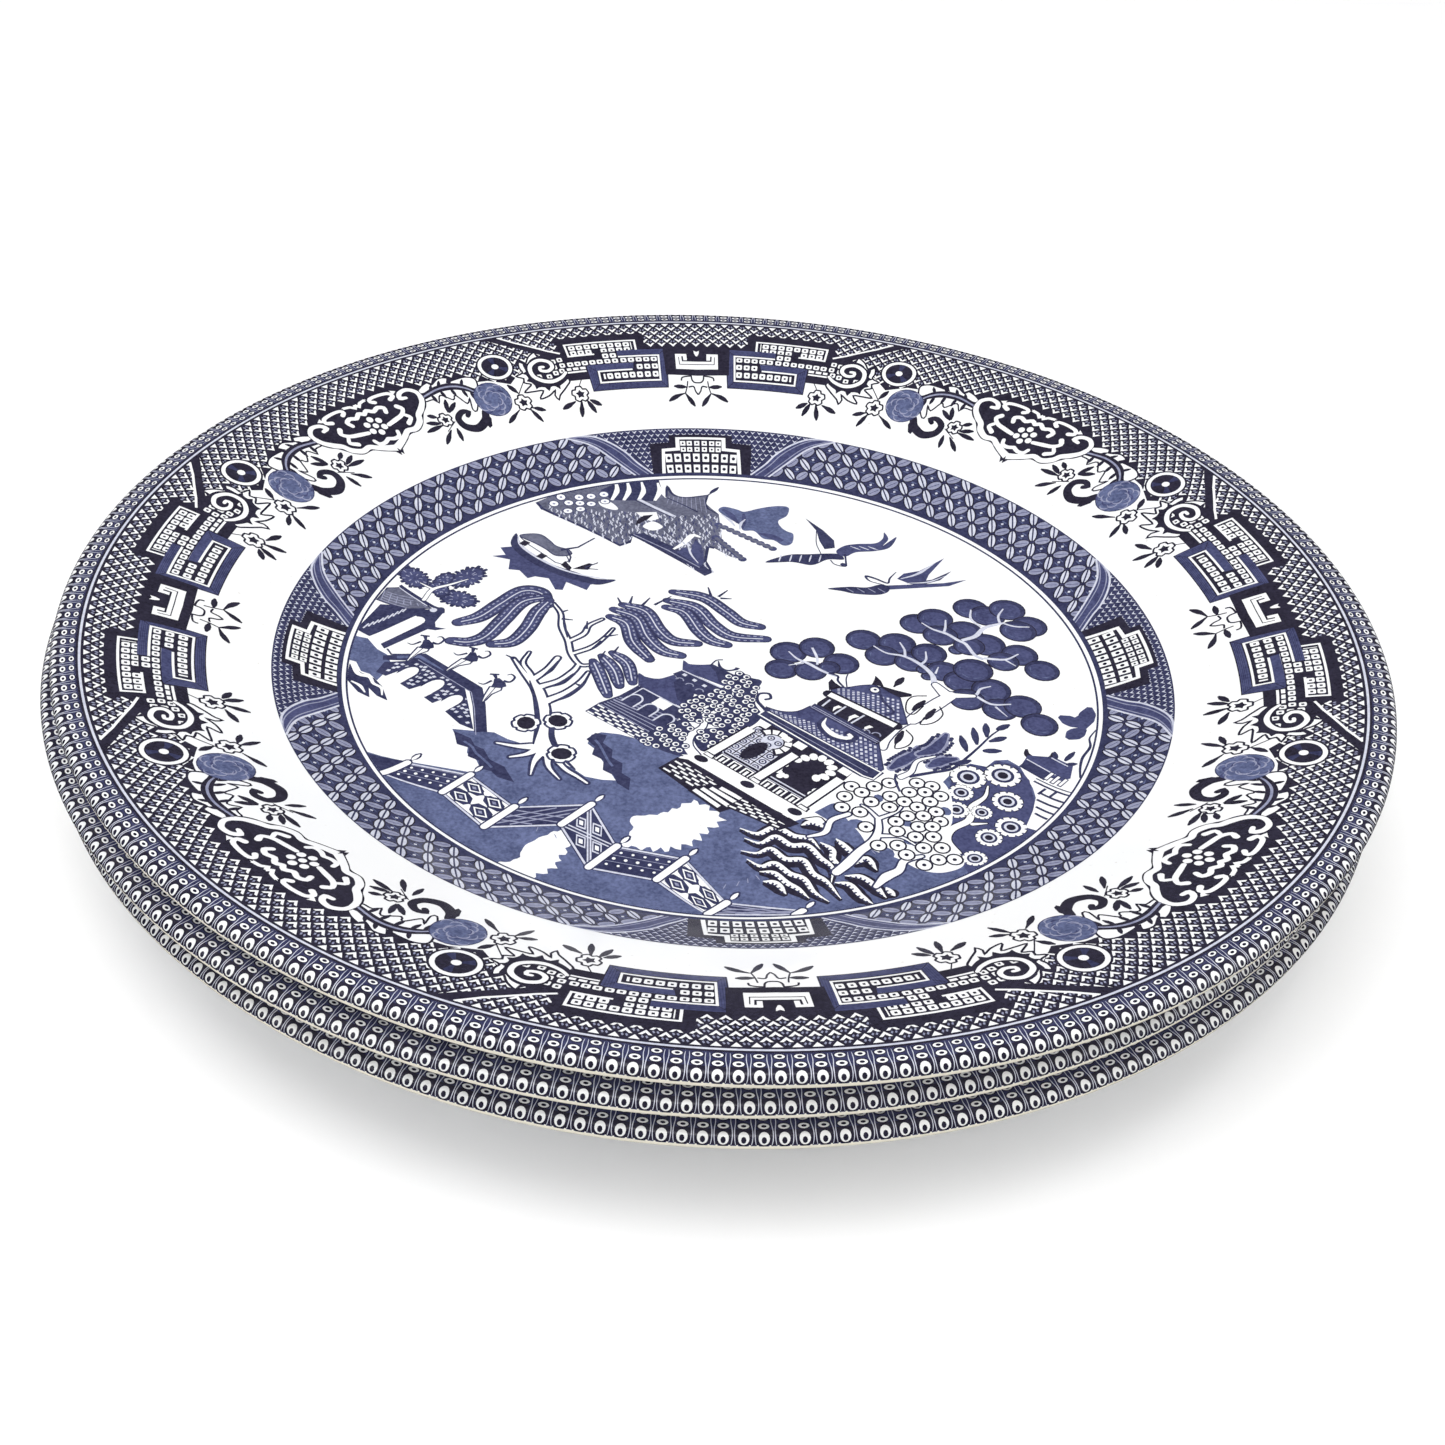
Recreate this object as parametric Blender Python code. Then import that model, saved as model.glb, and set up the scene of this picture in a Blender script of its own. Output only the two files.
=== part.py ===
"""Stack of three nested dinner plates in glazed china.

Metres, +Z up.  The origin is the middle of the stack's footprint, on the surface it stands on.
Each plate is one turned, fired piece: a flat well, a rising shoulder, a rolled edge and a foot
ring.  The foot ring of each upper plate stands on the well of the plate below it.
"""

import math

import bmesh
import bpy

MM = 0.001

# Driving dimensions of one plate
PLATE_RADIUS = 129.5 * MM
EDGE_ROUND = 1.6 * MM              # radius of the rolled edge
WELL_HEIGHT = 6.4 * MM             # top of the flat well above the foot
WELL_RADIUS = 69.0 * MM            # where the flat well ends
WALL_AT_RIM = 2.0 * EDGE_ROUND     # vertical thickness of the wall at the rolled edge
WALL_AT_FOOT = 4.4 * MM            # and where the wall meets the foot ring
SHOULDER = (                       # radius and height of the face where its slope changes
    (76.5 * MM, 7.2 * MM),
    (90.2 * MM, 13.0 * MM),
    (110.4 * MM, 21.2 * MM),
    (123.9 * MM, 24.9 * MM),
)
CREST_HEIGHT = 25.0 * MM
CREST_RADIUS = PLATE_RADIUS - EDGE_ROUND

# Foot ring
FOOT_OUTER = 69.5 * MM
FOOT_LAND = 3.0 * MM               # width of the ring's flat underside
FOOT_BEVEL = 0.6 * MM
FOOT_SPREAD = 3.4 * MM             # run of the flank that joins the ring to the shoulder
BASE_RECESS = 2.0 * MM             # height of the underside within the foot ring

# The stack
SEAT_GAP = 0.3 * MM                # air between a foot ring and the well under it
STACK_PITCH = WELL_HEIGHT + SEAT_GAP
PLATES = (                         # name and sideways shift of each plate, from the bottom up
    ("plate_bottom", (0.25 * MM, 0.0)),
    ("plate_middle", (-1.35 * MM, 0.1 * MM)),
    ("plate_top", (1.35 * MM, -0.1 * MM)),
)

# Faceting
SEGMENTS = 64
STEPS_PER_SPAN = 2
EDGE_STEPS = 6

# Glaze
GLAZE_COLOUR = (0.93, 0.93, 0.92, 1.0)
GLAZE_ROUGHNESS = 0.12


def clear_scene():
    """Remove every object, so that only the model is left."""
    for obj in list(bpy.data.objects):
        bpy.data.objects.remove(obj, do_unlink=True)


def face_knots():
    """Radius and height of the points that the plate's face runs through."""
    return ((WELL_RADIUS, WELL_HEIGHT),) + SHOULDER + ((CREST_RADIUS, CREST_HEIGHT),)


def knot_slopes(knots):
    """Slope of the face at each point: level at both ends, the neighbours' chord between."""
    slopes = [0.0]
    for before, after in zip(knots, knots[2:]):
        slopes.append((after[1] - before[1]) / (after[0] - before[0]))
    slopes.append(0.0)
    return slopes


def face_curve(steps):
    """Points along the face, from the edge of the well to the crest of the rim."""
    knots = face_knots()
    slopes = knot_slopes(knots)
    points = [knots[0]]
    for (r0, z0), (r1, z1), m0, m1 in zip(knots, knots[1:], slopes, slopes[1:]):
        run = r1 - r0
        for step in range(1, steps + 1):
            t = step / steps
            height = z0 * (1.0 + 2.0 * t) * (1.0 - t) ** 2
            height += z1 * (3.0 - 2.0 * t) * t ** 2
            height += run * (m0 * t * (1.0 - t) ** 2 - m1 * (1.0 - t) * t ** 2)
            points.append((r0 + run * t, height))
    return points


def edge_curve(steps):
    """Half circle of the rolled edge, from just past the crest to just short of the underside."""
    middle = CREST_HEIGHT - EDGE_ROUND
    points = []
    for step in range(1, steps):
        angle = math.pi * (0.5 - step / steps)
        points.append((CREST_RADIUS + EDGE_ROUND * math.cos(angle),
                       middle + EDGE_ROUND * math.sin(angle)))
    return points


def underside_curve(face):
    """The face lowered by the wall, from the rim in to where the foot ring's flank starts."""
    foot_flank = FOOT_OUTER + FOOT_SPREAD
    lowered = []
    for radius, height in reversed(face):
        if radius > foot_flank:
            inward = (CREST_RADIUS - radius) / (CREST_RADIUS - foot_flank)
            wall = WALL_AT_RIM + inward * (WALL_AT_FOOT - WALL_AT_RIM)
            lowered.append((radius, height - wall))
    return lowered


def foot_curve():
    """Foot ring: outer flank, flat land between two small bevels, and inner flank."""
    land_inner = FOOT_OUTER - FOOT_LAND
    return [
        (FOOT_OUTER + FOOT_BEVEL, FOOT_BEVEL),
        (FOOT_OUTER, 0.0),
        (land_inner, 0.0),
        (land_inner - FOOT_BEVEL, FOOT_BEVEL),
        (land_inner - 2.0 * FOOT_BEVEL, BASE_RECESS),
    ]


def plate_profile():
    """Half section from the edge of the well, over the rim and in to the edge of the recess."""
    face = face_curve(STEPS_PER_SPAN)
    return face + edge_curve(EDGE_STEPS) + underside_curve(face) + foot_curve()


def turned_mesh(name, profile):
    """Turn the half section about Z and close it with a flat disc at each end."""
    body = bmesh.new()
    rings = []
    for radius, height in profile:
        ring = []
        for index in range(SEGMENTS):
            turn = 2.0 * math.pi * index / SEGMENTS
            ring.append(body.verts.new((radius * math.cos(turn), radius * math.sin(turn), height)))
        rings.append(ring)
    for inner, outer in zip(rings, rings[1:]):
        for index in range(SEGMENTS):
            following = (index + 1) % SEGMENTS
            body.faces.new((inner[index], outer[index], outer[following], inner[following]))
    body.faces.new(rings[0])
    body.faces.new(rings[-1][::-1])
    bmesh.ops.recalc_face_normals(body, faces=body.faces)
    mesh = bpy.data.meshes.new(name)
    body.to_mesh(mesh)
    body.free()
    mesh.shade_smooth()
    mesh.set_sharp_from_angle(angle=math.radians(35.0))
    return mesh


def glaze_material(name):
    """White glazed china."""
    material = bpy.data.materials.new(name)
    material.use_nodes = True
    shader = material.node_tree.nodes["Principled BSDF"]
    shader.inputs["Base Color"].default_value = GLAZE_COLOUR
    shader.inputs["Roughness"].default_value = GLAZE_ROUGHNESS
    shader.inputs["Metallic"].default_value = 0.0
    return material


def make_plate(name, level, shift):
    """One plate, standing at its level of the stack."""
    mesh = turned_mesh(name, plate_profile())
    mesh.materials.append(glaze_material(name + "_glaze"))
    plate = bpy.data.objects.new(name, mesh)
    plate.location = (shift[0], shift[1], level * STACK_PITCH)
    bpy.context.scene.collection.objects.link(plate)
    return plate


def main():
    clear_scene()
    for level, (name, shift) in enumerate(PLATES):
        make_plate(name, level, shift)


main()
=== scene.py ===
"""Looks of a nested stack of blue and white printed dinner plates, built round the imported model.

Each plate is a finely turned body of glazed china.  Its decoration is drawn flat, in
millimetres on the plate's developed face, cut into one mosaic of ink shapes with nothing
overlapping, and then laid on the curved face, where white is bare glaze.
"""
import math

import bpy
import numpy as np
from mathutils import Matrix, Vector
from mathutils.geometry import delaunay_2d_cdt


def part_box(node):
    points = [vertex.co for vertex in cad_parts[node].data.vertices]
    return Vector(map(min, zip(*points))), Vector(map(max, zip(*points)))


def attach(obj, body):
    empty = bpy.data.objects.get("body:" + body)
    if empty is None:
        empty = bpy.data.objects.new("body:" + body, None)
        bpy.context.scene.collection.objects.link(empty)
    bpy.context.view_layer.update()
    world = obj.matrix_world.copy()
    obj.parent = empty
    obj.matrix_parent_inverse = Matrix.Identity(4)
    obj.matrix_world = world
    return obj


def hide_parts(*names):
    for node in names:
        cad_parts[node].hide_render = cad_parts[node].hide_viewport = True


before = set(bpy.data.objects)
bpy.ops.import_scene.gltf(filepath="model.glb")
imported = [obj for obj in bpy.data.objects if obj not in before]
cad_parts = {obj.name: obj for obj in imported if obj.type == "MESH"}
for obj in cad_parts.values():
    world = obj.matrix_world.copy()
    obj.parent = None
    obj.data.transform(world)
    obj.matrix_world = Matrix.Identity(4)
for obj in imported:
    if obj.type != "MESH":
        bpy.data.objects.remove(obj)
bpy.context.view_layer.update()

MM = 0.001
TURNS = {"plate_bottom": -52.0, "plate_middle": 28.0, "plate_top": 0.0}   # degrees, bottom first


# ---------------------------------------------------------------------------------------------
# Shape of one plate, in millimetres

top_low, top_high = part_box("plate_top")
PLATE_RADIUS = (top_high.x - top_low.x) / 2.0 / MM
EDGE_ROUND = 1.6                   # radius of the rolled edge
CREST_RADIUS = PLATE_RADIUS - EDGE_ROUND
CREST_HEIGHT = 25.0
FACE = ((69.0, 6.4), (76.5, 7.2), (90.2, 13.0), (110.4, 21.2), (123.9, 24.9),
        (CREST_RADIUS, CREST_HEIGHT))
WALL_AT_RIM = 2.0 * EDGE_ROUND
WALL_AT_FOOT = 4.4
FOOT_OUTER = 69.5
FOOT_LAND = 3.0
FOOT_BEVEL = 0.6
FOOT_SPREAD = 3.4
BASE_RECESS = 2.0
INK_LIFT = 0.03                    # the print stands this far proud of the body, out of its facets
VERGE_POINTS, SHOULDER_POINTS, EDGE_STEPS = 22, 26, 28     # how finely the section is divided


def face_slopes():
    """Slope of the face at each of its points: level at both ends, the neighbours' chord between."""
    inner = [(b[1] - a[1]) / (b[0] - a[0]) for a, b in zip(FACE, FACE[2:])]
    return [0.0] + inner + [0.0]


def face_height(radius):
    """Height and slope of the face at an array of radii, flat within the well."""
    radius = np.asarray(radius, float)
    height = np.full(radius.shape, FACE[0][1])
    slope = np.zeros(radius.shape)
    slopes = face_slopes()
    for (r0, z0), (r1, z1), m0, m1 in zip(FACE, FACE[1:], slopes, slopes[1:]):
        run = r1 - r0
        t = (radius - r0) / run
        here = (t > 0.0) & (t <= 1.0)
        curve = z0 * (1 + 2 * t) * (1 - t) ** 2 + z1 * (3 - 2 * t) * t ** 2
        curve += run * (m0 * t * (1 - t) ** 2 - m1 * (1 - t) * t ** 2)
        steep = (z1 - z0) / run * 6 * t * (1 - t)
        steep += m0 * (1 - t) * (1 - 3 * t) + m1 * t * (3 * t - 2)
        height[here] = curve[here]
        slope[here] = steep[here]
    return height, slope


def lay_on_face(flat):
    """Points and normals on the plate for points of the flat drawing.

    The drawing keeps each point's angle, and its distance from the middle is measured along
    the radius as far as the crest and from there along the rolled edge.
    """
    reach = np.hypot(flat[:, 0], flat[:, 1])
    safe = np.maximum(reach, 1e-9)
    out = flat / safe[:, None]
    height, slope = face_height(np.minimum(reach, CREST_RADIUS))
    bend = np.maximum(reach - CREST_RADIUS, 0.0) / EDGE_ROUND
    tilt = np.where(bend > 0.0, bend, -np.arctan(slope))
    radius = np.minimum(reach, CREST_RADIUS) + EDGE_ROUND * np.sin(bend)
    height = height - EDGE_ROUND * (1.0 - np.cos(bend))
    normal = np.column_stack([out * np.sin(tilt)[:, None], np.cos(tilt)])
    point = np.column_stack([out * radius[:, None], height])
    return point + INK_LIFT * normal, normal


def plate_section():
    """Half section of the body: face, rolled edge, underside and foot ring, and where the land is."""
    inner = np.array([FACE[0][0]])
    verge = np.linspace(FACE[0][0], FACE[2][0], VERGE_POINTS)[1:]
    shoulder = np.linspace(FACE[2][0], CREST_RADIUS, SHOULDER_POINTS)[1:]
    radii = np.concatenate([inner, verge, shoulder])
    heights, _ = face_height(radii)
    section = list(zip(radii, heights))
    for step in range(1, EDGE_STEPS):
        angle = math.pi * (0.5 - step / EDGE_STEPS)
        section.append((CREST_RADIUS + EDGE_ROUND * math.cos(angle),
                        CREST_HEIGHT - EDGE_ROUND + EDGE_ROUND * math.sin(angle)))
    flank = FOOT_OUTER + FOOT_SPREAD
    for radius, height in zip(radii[::-1], heights[::-1]):
        if radius > flank:
            inward = (CREST_RADIUS - radius) / (CREST_RADIUS - flank)
            wall = WALL_AT_RIM + inward * (WALL_AT_FOOT - WALL_AT_RIM)
            section.append((radius, height - wall))
    land_inner = FOOT_OUTER - FOOT_LAND
    down, tight = 0.45, 0.25 * FOOT_BEVEL      # where the flank turns, and the bevel's rounding
    section += [(FOOT_OUTER + down * FOOT_SPREAD, down * section[-1][1]),
                (FOOT_OUTER + FOOT_BEVEL, FOOT_BEVEL), (FOOT_OUTER + tight, tight)]
    land = len(section)
    section += [(FOOT_OUTER, 0.0), (land_inner, 0.0), (land_inner - tight, tight),
                (land_inner - FOOT_BEVEL, FOOT_BEVEL),
                (land_inner - 1.7 * FOOT_BEVEL, BASE_RECESS - 0.3),
                (land_inner - 2.2 * FOOT_BEVEL, BASE_RECESS)]
    return section, land


# ---------------------------------------------------------------------------------------------
# Drawing tools.  A Drawing is a list of flat shapes; later ones cover earlier ones, and CLEAR
# leaves bare glaze.  All lengths are millimetres and all turns degrees.

CLEAR = None
MERGE = 1e-5                       # points nearer than this become one


def smooth(points, closed=False, gap=0.6):
    """A curve that runs through the points, with a vertex about every gap millimetres."""
    points = [Vector(p) for p in points]
    count = len(points)
    curve = []
    spans = count if closed else count - 1
    for i in range(spans):
        b, c = points[i], points[(i + 1) % count]
        a = points[i - 1] if closed or i else b + (b - c)
        d = points[(i + 2) % count] if closed or i + 2 < count else c + (c - b)
        steps = max(2, math.ceil((c - b).length / gap))
        for step in range(steps):
            t = step / steps
            curve.append(0.5 * (2 * b + (c - a) * t + (2 * a - 5 * b + 4 * c - d) * t ** 2
                                + (3 * b - a - 3 * c + d) * t ** 3))
    if not closed:
        curve.append(points[-1])
    return [tuple(p) for p in curve]


def even_widths(widths, count):
    """Widths along a stroke of that many points, from one number or a few spread evenly."""
    if isinstance(widths, (int, float)):
        return [widths] * count
    stops = np.linspace(0.0, 1.0, len(widths))
    return list(np.interp(np.linspace(0.0, 1.0, count), stops, widths))


def arc(centre, radius, start, end, steps=12):
    """Points along an arc, in degrees; radius is one number or (across, up)."""
    across, up = radius if isinstance(radius, tuple) else (radius, radius)
    turns = [math.radians(start + (end - start) * i / steps) for i in range(steps + 1)]
    return [(centre[0] + across * math.cos(a), centre[1] + up * math.sin(a)) for a in turns]


def polar(radius, turn):
    """The point at a distance and a direction from the origin."""
    return arc((0, 0), radius, turn, 0, 1)[0]


def placed(points, at, turn=0.0, size=1.0):
    """Points turned by degrees, scaled and moved to a place."""
    c, s = size * math.cos(math.radians(turn)), size * math.sin(math.radians(turn))
    return [(at[0] + c * x - s * y, at[1] + s * x + c * y) for x, y in points]


def rectangle(left, low, right, high):
    """The corners of an upright rectangle."""
    return [(left, low), (right, low), (right, high), (left, high)]


def block(across, up, at=(0, 0)):
    """A rectangle from its half width, its half height and its middle."""
    return rectangle(at[0] - across, at[1] - up, at[0] + across, at[1] + up)


def petals(count, tip, spread, dip, dip_turn, turn=0, steps=2):
    """Outline of a flower: for each petal an arc at its tip, and then a point in the dip."""
    ring = []
    for petal in range(count):
        middle = turn + 360 / count * petal
        ring += arc((0, 0), tip, middle - spread, middle + spread, steps)
        ring.append(polar(dip, middle + dip_turn))
    return ring


def sideways(a, b):
    """Unit vector to the left of the way from a to b."""
    length = math.hypot(b[0] - a[0], b[1] - a[1]) or 1.0
    return -(b[1] - a[1]) / length, (b[0] - a[0]) / length


class Drawing:
    """Flat shapes in the order that they are laid down."""

    def __init__(self):
        """Start with nothing drawn."""
        self.shapes = []

    def fill(self, ink, points, curved=False):
        """A filled shape, with straight or smoothly curved sides."""
        points = smooth(points, closed=True) if curved else list(points)
        self.shapes.append((ink, points))

    def disc(self, ink, centre, radius, sides=12, turn=0.0):
        """A filled circle or ellipse; radius is one number or (across, up)."""
        across, up = radius if isinstance(radius, tuple) else (radius, radius)
        self.fill(ink, placed(arc((0, 0), (across, up), 0, 360 - 360 / sides, sides - 1), centre, turn))

    def stroke(self, ink, points, width, curved=False, closed=False, caps=False, gap=0.6):
        """A line of a width, or of a few widths spread along it, as a chain of quads."""
        points = smooth(points, closed, gap) if curved else list(points)
        count = len(points)
        widths = even_widths(width, count)
        spans = count if closed else count - 1
        heads = []
        for i in range(spans):
            a, b = points[i], points[(i + 1) % count]
            length = math.hypot(b[0] - a[0], b[1] - a[1]) or 1e-9
            heads.append(((b[0] - a[0]) / length, (b[1] - a[1]) / length))
        sides = []
        for i in range(count):
            before = heads[i - 1] if i or closed else heads[0]
            after = heads[i] if i < spans else heads[-1]
            x, y = -(before[1] + after[1]), before[0] + after[0]
            length = math.hypot(x, y) or 1e-9
            lean = max(0.45, (x * -after[1] + y * after[0]) / length)
            half = widths[i] / 2.0 / lean / length
            sides.append(((points[i][0] + x * half, points[i][1] + y * half),
                          (points[i][0] - x * half, points[i][1] - y * half)))
        for i in range(spans):
            (left, right), (next_left, next_right) = sides[i], sides[(i + 1) % count]
            head = heads[i]
            if (next_left[0] - left[0]) * head[0] + (next_left[1] - left[1]) * head[1] < 0:
                left = next_left = ((left[0] + next_left[0]) / 2, (left[1] + next_left[1]) / 2)
            if (next_right[0] - right[0]) * head[0] + (next_right[1] - right[1]) * head[1] < 0:
                right = next_right = ((right[0] + next_right[0]) / 2,
                                      (right[1] + next_right[1]) / 2)
            self.shapes.append((ink, [right, next_right, next_left, left]))
        if caps and not closed:
            self.disc(ink, points[0], widths[0] / 2, 10)
            self.disc(ink, points[-1], widths[-1] / 2, 10)

    def rings(self, centre, *discs, turn=0.0):
        """Discs on one centre, each an (ink, radius, sides), from the lowest to the top one."""
        for ink, radius, sides in discs:
            self.disc(ink, centre, radius, sides, turn)

    def curve(self, ink, points, width, **options):
        """A stroke along the smooth curve through the points."""
        self.stroke(ink, points, width, curved=True, **options)

    def outlined(self, ink, line, points, width, curved=False):
        """A filled shape with a line round it."""
        self.fill(ink, points, curved)
        self.stroke(line, points, width, curved, closed=True)

    def mosaic(self, region, longest=2.5, grid=()):
        """Cut all shapes within the region into triangles, and sort them by the ink on top."""
        corners = []
        faces = []
        for ink, points in [("region", region)] + self.shapes:
            area = sum(a[0] * b[1] - b[0] * a[1] for a, b in zip(points, points[1:] + points[:1]))
            points = points if area > 0 else points[::-1]
            start = len(corners)
            for a, b in zip(points, points[1:] + points[:1]):
                steps = max(1, math.ceil(math.hypot(b[0] - a[0], b[1] - a[1]) / longest))
                for step in range(steps):
                    t = step / steps
                    corners.append(Vector((a[0] + (b[0] - a[0]) * t, a[1] + (b[1] - a[1]) * t)))
            faces.append(list(range(start, len(corners))))
        corners += [Vector(p) for p in grid]
        verts, _, cells, _, _, origins = delaunay_2d_cdt(corners, [], faces, 0, MERGE)
        flat = np.array([tuple(v) for v in verts])
        sorted_cells = {}
        for cell, below in zip(cells, origins):
            if 0 not in below:
                continue
            top = max(below)
            ink = self.shapes[top - 1][0] if top else CLEAR
            if ink is not CLEAR:
                sorted_cells.setdefault(ink, []).append(cell)
        return flat, {ink: np.array(cells) for ink, cells in sorted_cells.items()}


class Tiles:
    """Triangles of each ink, gathered from mosaics that are repeated round the plate."""

    def __init__(self):
        """Start with no parts."""
        self.parts = {}

    def add(self, mosaic, mapping, flipped=False):
        """Lay one mosaic down through a mapping; a mirrored one needs its triangles flipped."""
        flat, inks = mosaic
        placed_flat = mapping(flat)
        for ink, cells in inks.items():
            used, cells = np.unique(cells, return_inverse=True)
            cells = cells.reshape(-1, 3)
            if flipped:
                cells = cells[:, ::-1]
            self.parts.setdefault(ink, []).append((placed_flat[used], cells))

    def joined(self):
        """One array of flat points and one of triangles for each ink."""
        result = {}
        for ink, parts in self.parts.items():
            start = 0
            points, cells = [], []
            for part_points, part_cells in parts:
                points.append(part_points)
                cells.append(part_cells + start)
                start += len(part_points)
            result[ink] = np.concatenate(points), np.concatenate(cells)
        return result


# ---------------------------------------------------------------------------------------------
# Border: drawn for an eighth of the plate, from the middle of a key panel (0 degrees) to the
# middle of a cartouche (45 degrees), on a strip where x is millimetres along a circle of
# BORDER_ARC radius and y is the distance from the plate's middle.

BORDER_ARC = 112
BORDER_MM = math.radians(BORDER_ARC)          # millimetres along the strip for one degree
EIGHTH = 45 * BORDER_MM
BORDER_LOW, BORDER_HIGH = 93, 124.75


def strip(points):
    """Strip points from (degrees, radius) pairs."""
    return [(t * BORDER_MM, v) for t, v in points]


def spot(t, v):
    """The strip point of one (degrees, radius) pair."""
    return (t * BORDER_MM, v)


def strip_grid(width, low, high, pitch=2.2):
    """Points spread over a strip, so that its mosaic follows the curved face."""
    across = np.arange(pitch / 2, width, pitch)
    up = np.arange(low + pitch / 2, high, pitch)
    return [(x + 0.13 * (i % 3), y) for i, y in enumerate(up) for x in across]


def draw_trellis(d):
    """Dark ground with rows of white chevrons that point inwards, a pale square in each cell."""
    d.fill("black", strip([(0, 113.6), (17.5, 112.5), (22.6, 111.4), (25, 107.7), (27.6, 110),
                           (30.2, 110.6), (33, 112), (37.5, 112.4), (40, 115.2), (45, 115),
                           (45, 124.75), (0, 124.75)]))
    pitch = 45 / 32
    rows, top_row, row_step = 12, 123.35, 1.45
    for row in range(rows):
        v = top_row - row_step * row
        for column in range(-1, 34):
            t = pitch * (column + (0.5 if row % 2 == 0 else 0))
            x, y = spot(t, v)
            stretch = v / BORDER_ARC
            if not in_trellis(t, v):
                continue
            if row == 0:
                d.fill(CLEAR, [(x - 0.8, y), (x + 0.8, y), (x, y - 1.15)])
                continue
            chevron = [(-1.08, 0.12), (0, -1.2), (1.08, 0.12), (0.5, 0.16), (0, -0.45), (-0.5, 0.16)]
            d.fill(CLEAR, [(x + cx / stretch, y + cy) for cx, cy in chevron])
            for side in (-1, 1):
                d.fill("tint", [(x + side * 0.3 + cx, y + 0.66 + cy) for cx, cy in
                                ((-0.22, 0.1), (0.05, -0.38), (0.24, -0.12), (0, 0.36))])


def in_trellis(t, v):
    """Whether a chevron at this place shows, or would be under a panel or below the trellis."""
    floor = np.interp(t, [0, 6.3, 6.5, 17, 17.2, 20, 22.5, 23.5, 25.3, 28, 31, 36, 38.5, 39.5, 45],
                      [115.2, 115.2, 120.2, 120.2, 115.6, 114.8, 113.5, 110.4, 109, 110.4, 113.4,
                       113.6, 115.8, 116.6, 116.6])
    return v > floor


def cell(d, t, v, wide=1.5, tall=1.5):
    """White square with a dark middle, one of many in the key panels."""
    x, y = spot(t, v)
    a, b, c = wide / 2, tall / 2, 0.22
    d.fill(CLEAR, [(x - a + c, y - b), (x + a - c, y - b), (x + a, y - b + c), (x + a, y + b - c),
                   (x + a - c, y + b), (x - a + c, y + b), (x - a, y + b - c), (x - a, y - b + c)])
    d.fill("black", block(0.24, 0.26, (x, y)))


def draw_bracket(d):
    """Dark tablet at the middle of a key panel with a white double hook, and a tulip in its mouth."""
    d.fill("black", strip([(0, 105.5), (4.2, 105.9), (4.2, 114.2), (0, 114.2)]))
    d.fill(CLEAR, strip([(0, 107.4), (2.75, 107.6), (2.72, 112.4), (1.28, 112.4), (1.25, 110.3),
                         (1.72, 110.3), (1.75, 111.6), (1.95, 111.6), (1.9, 109.95), (0, 109.9)]))
    d.stroke("black", strip([(0, 108.95), (2.25, 109.05), (2.3, 111.4)]), 0.2)
    d.fill(CLEAR, strip([(0, 113.1), (0.35, 113.5), (0.3, 112.6), (0.12, 111.7), (0, 111.6)]))


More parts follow.
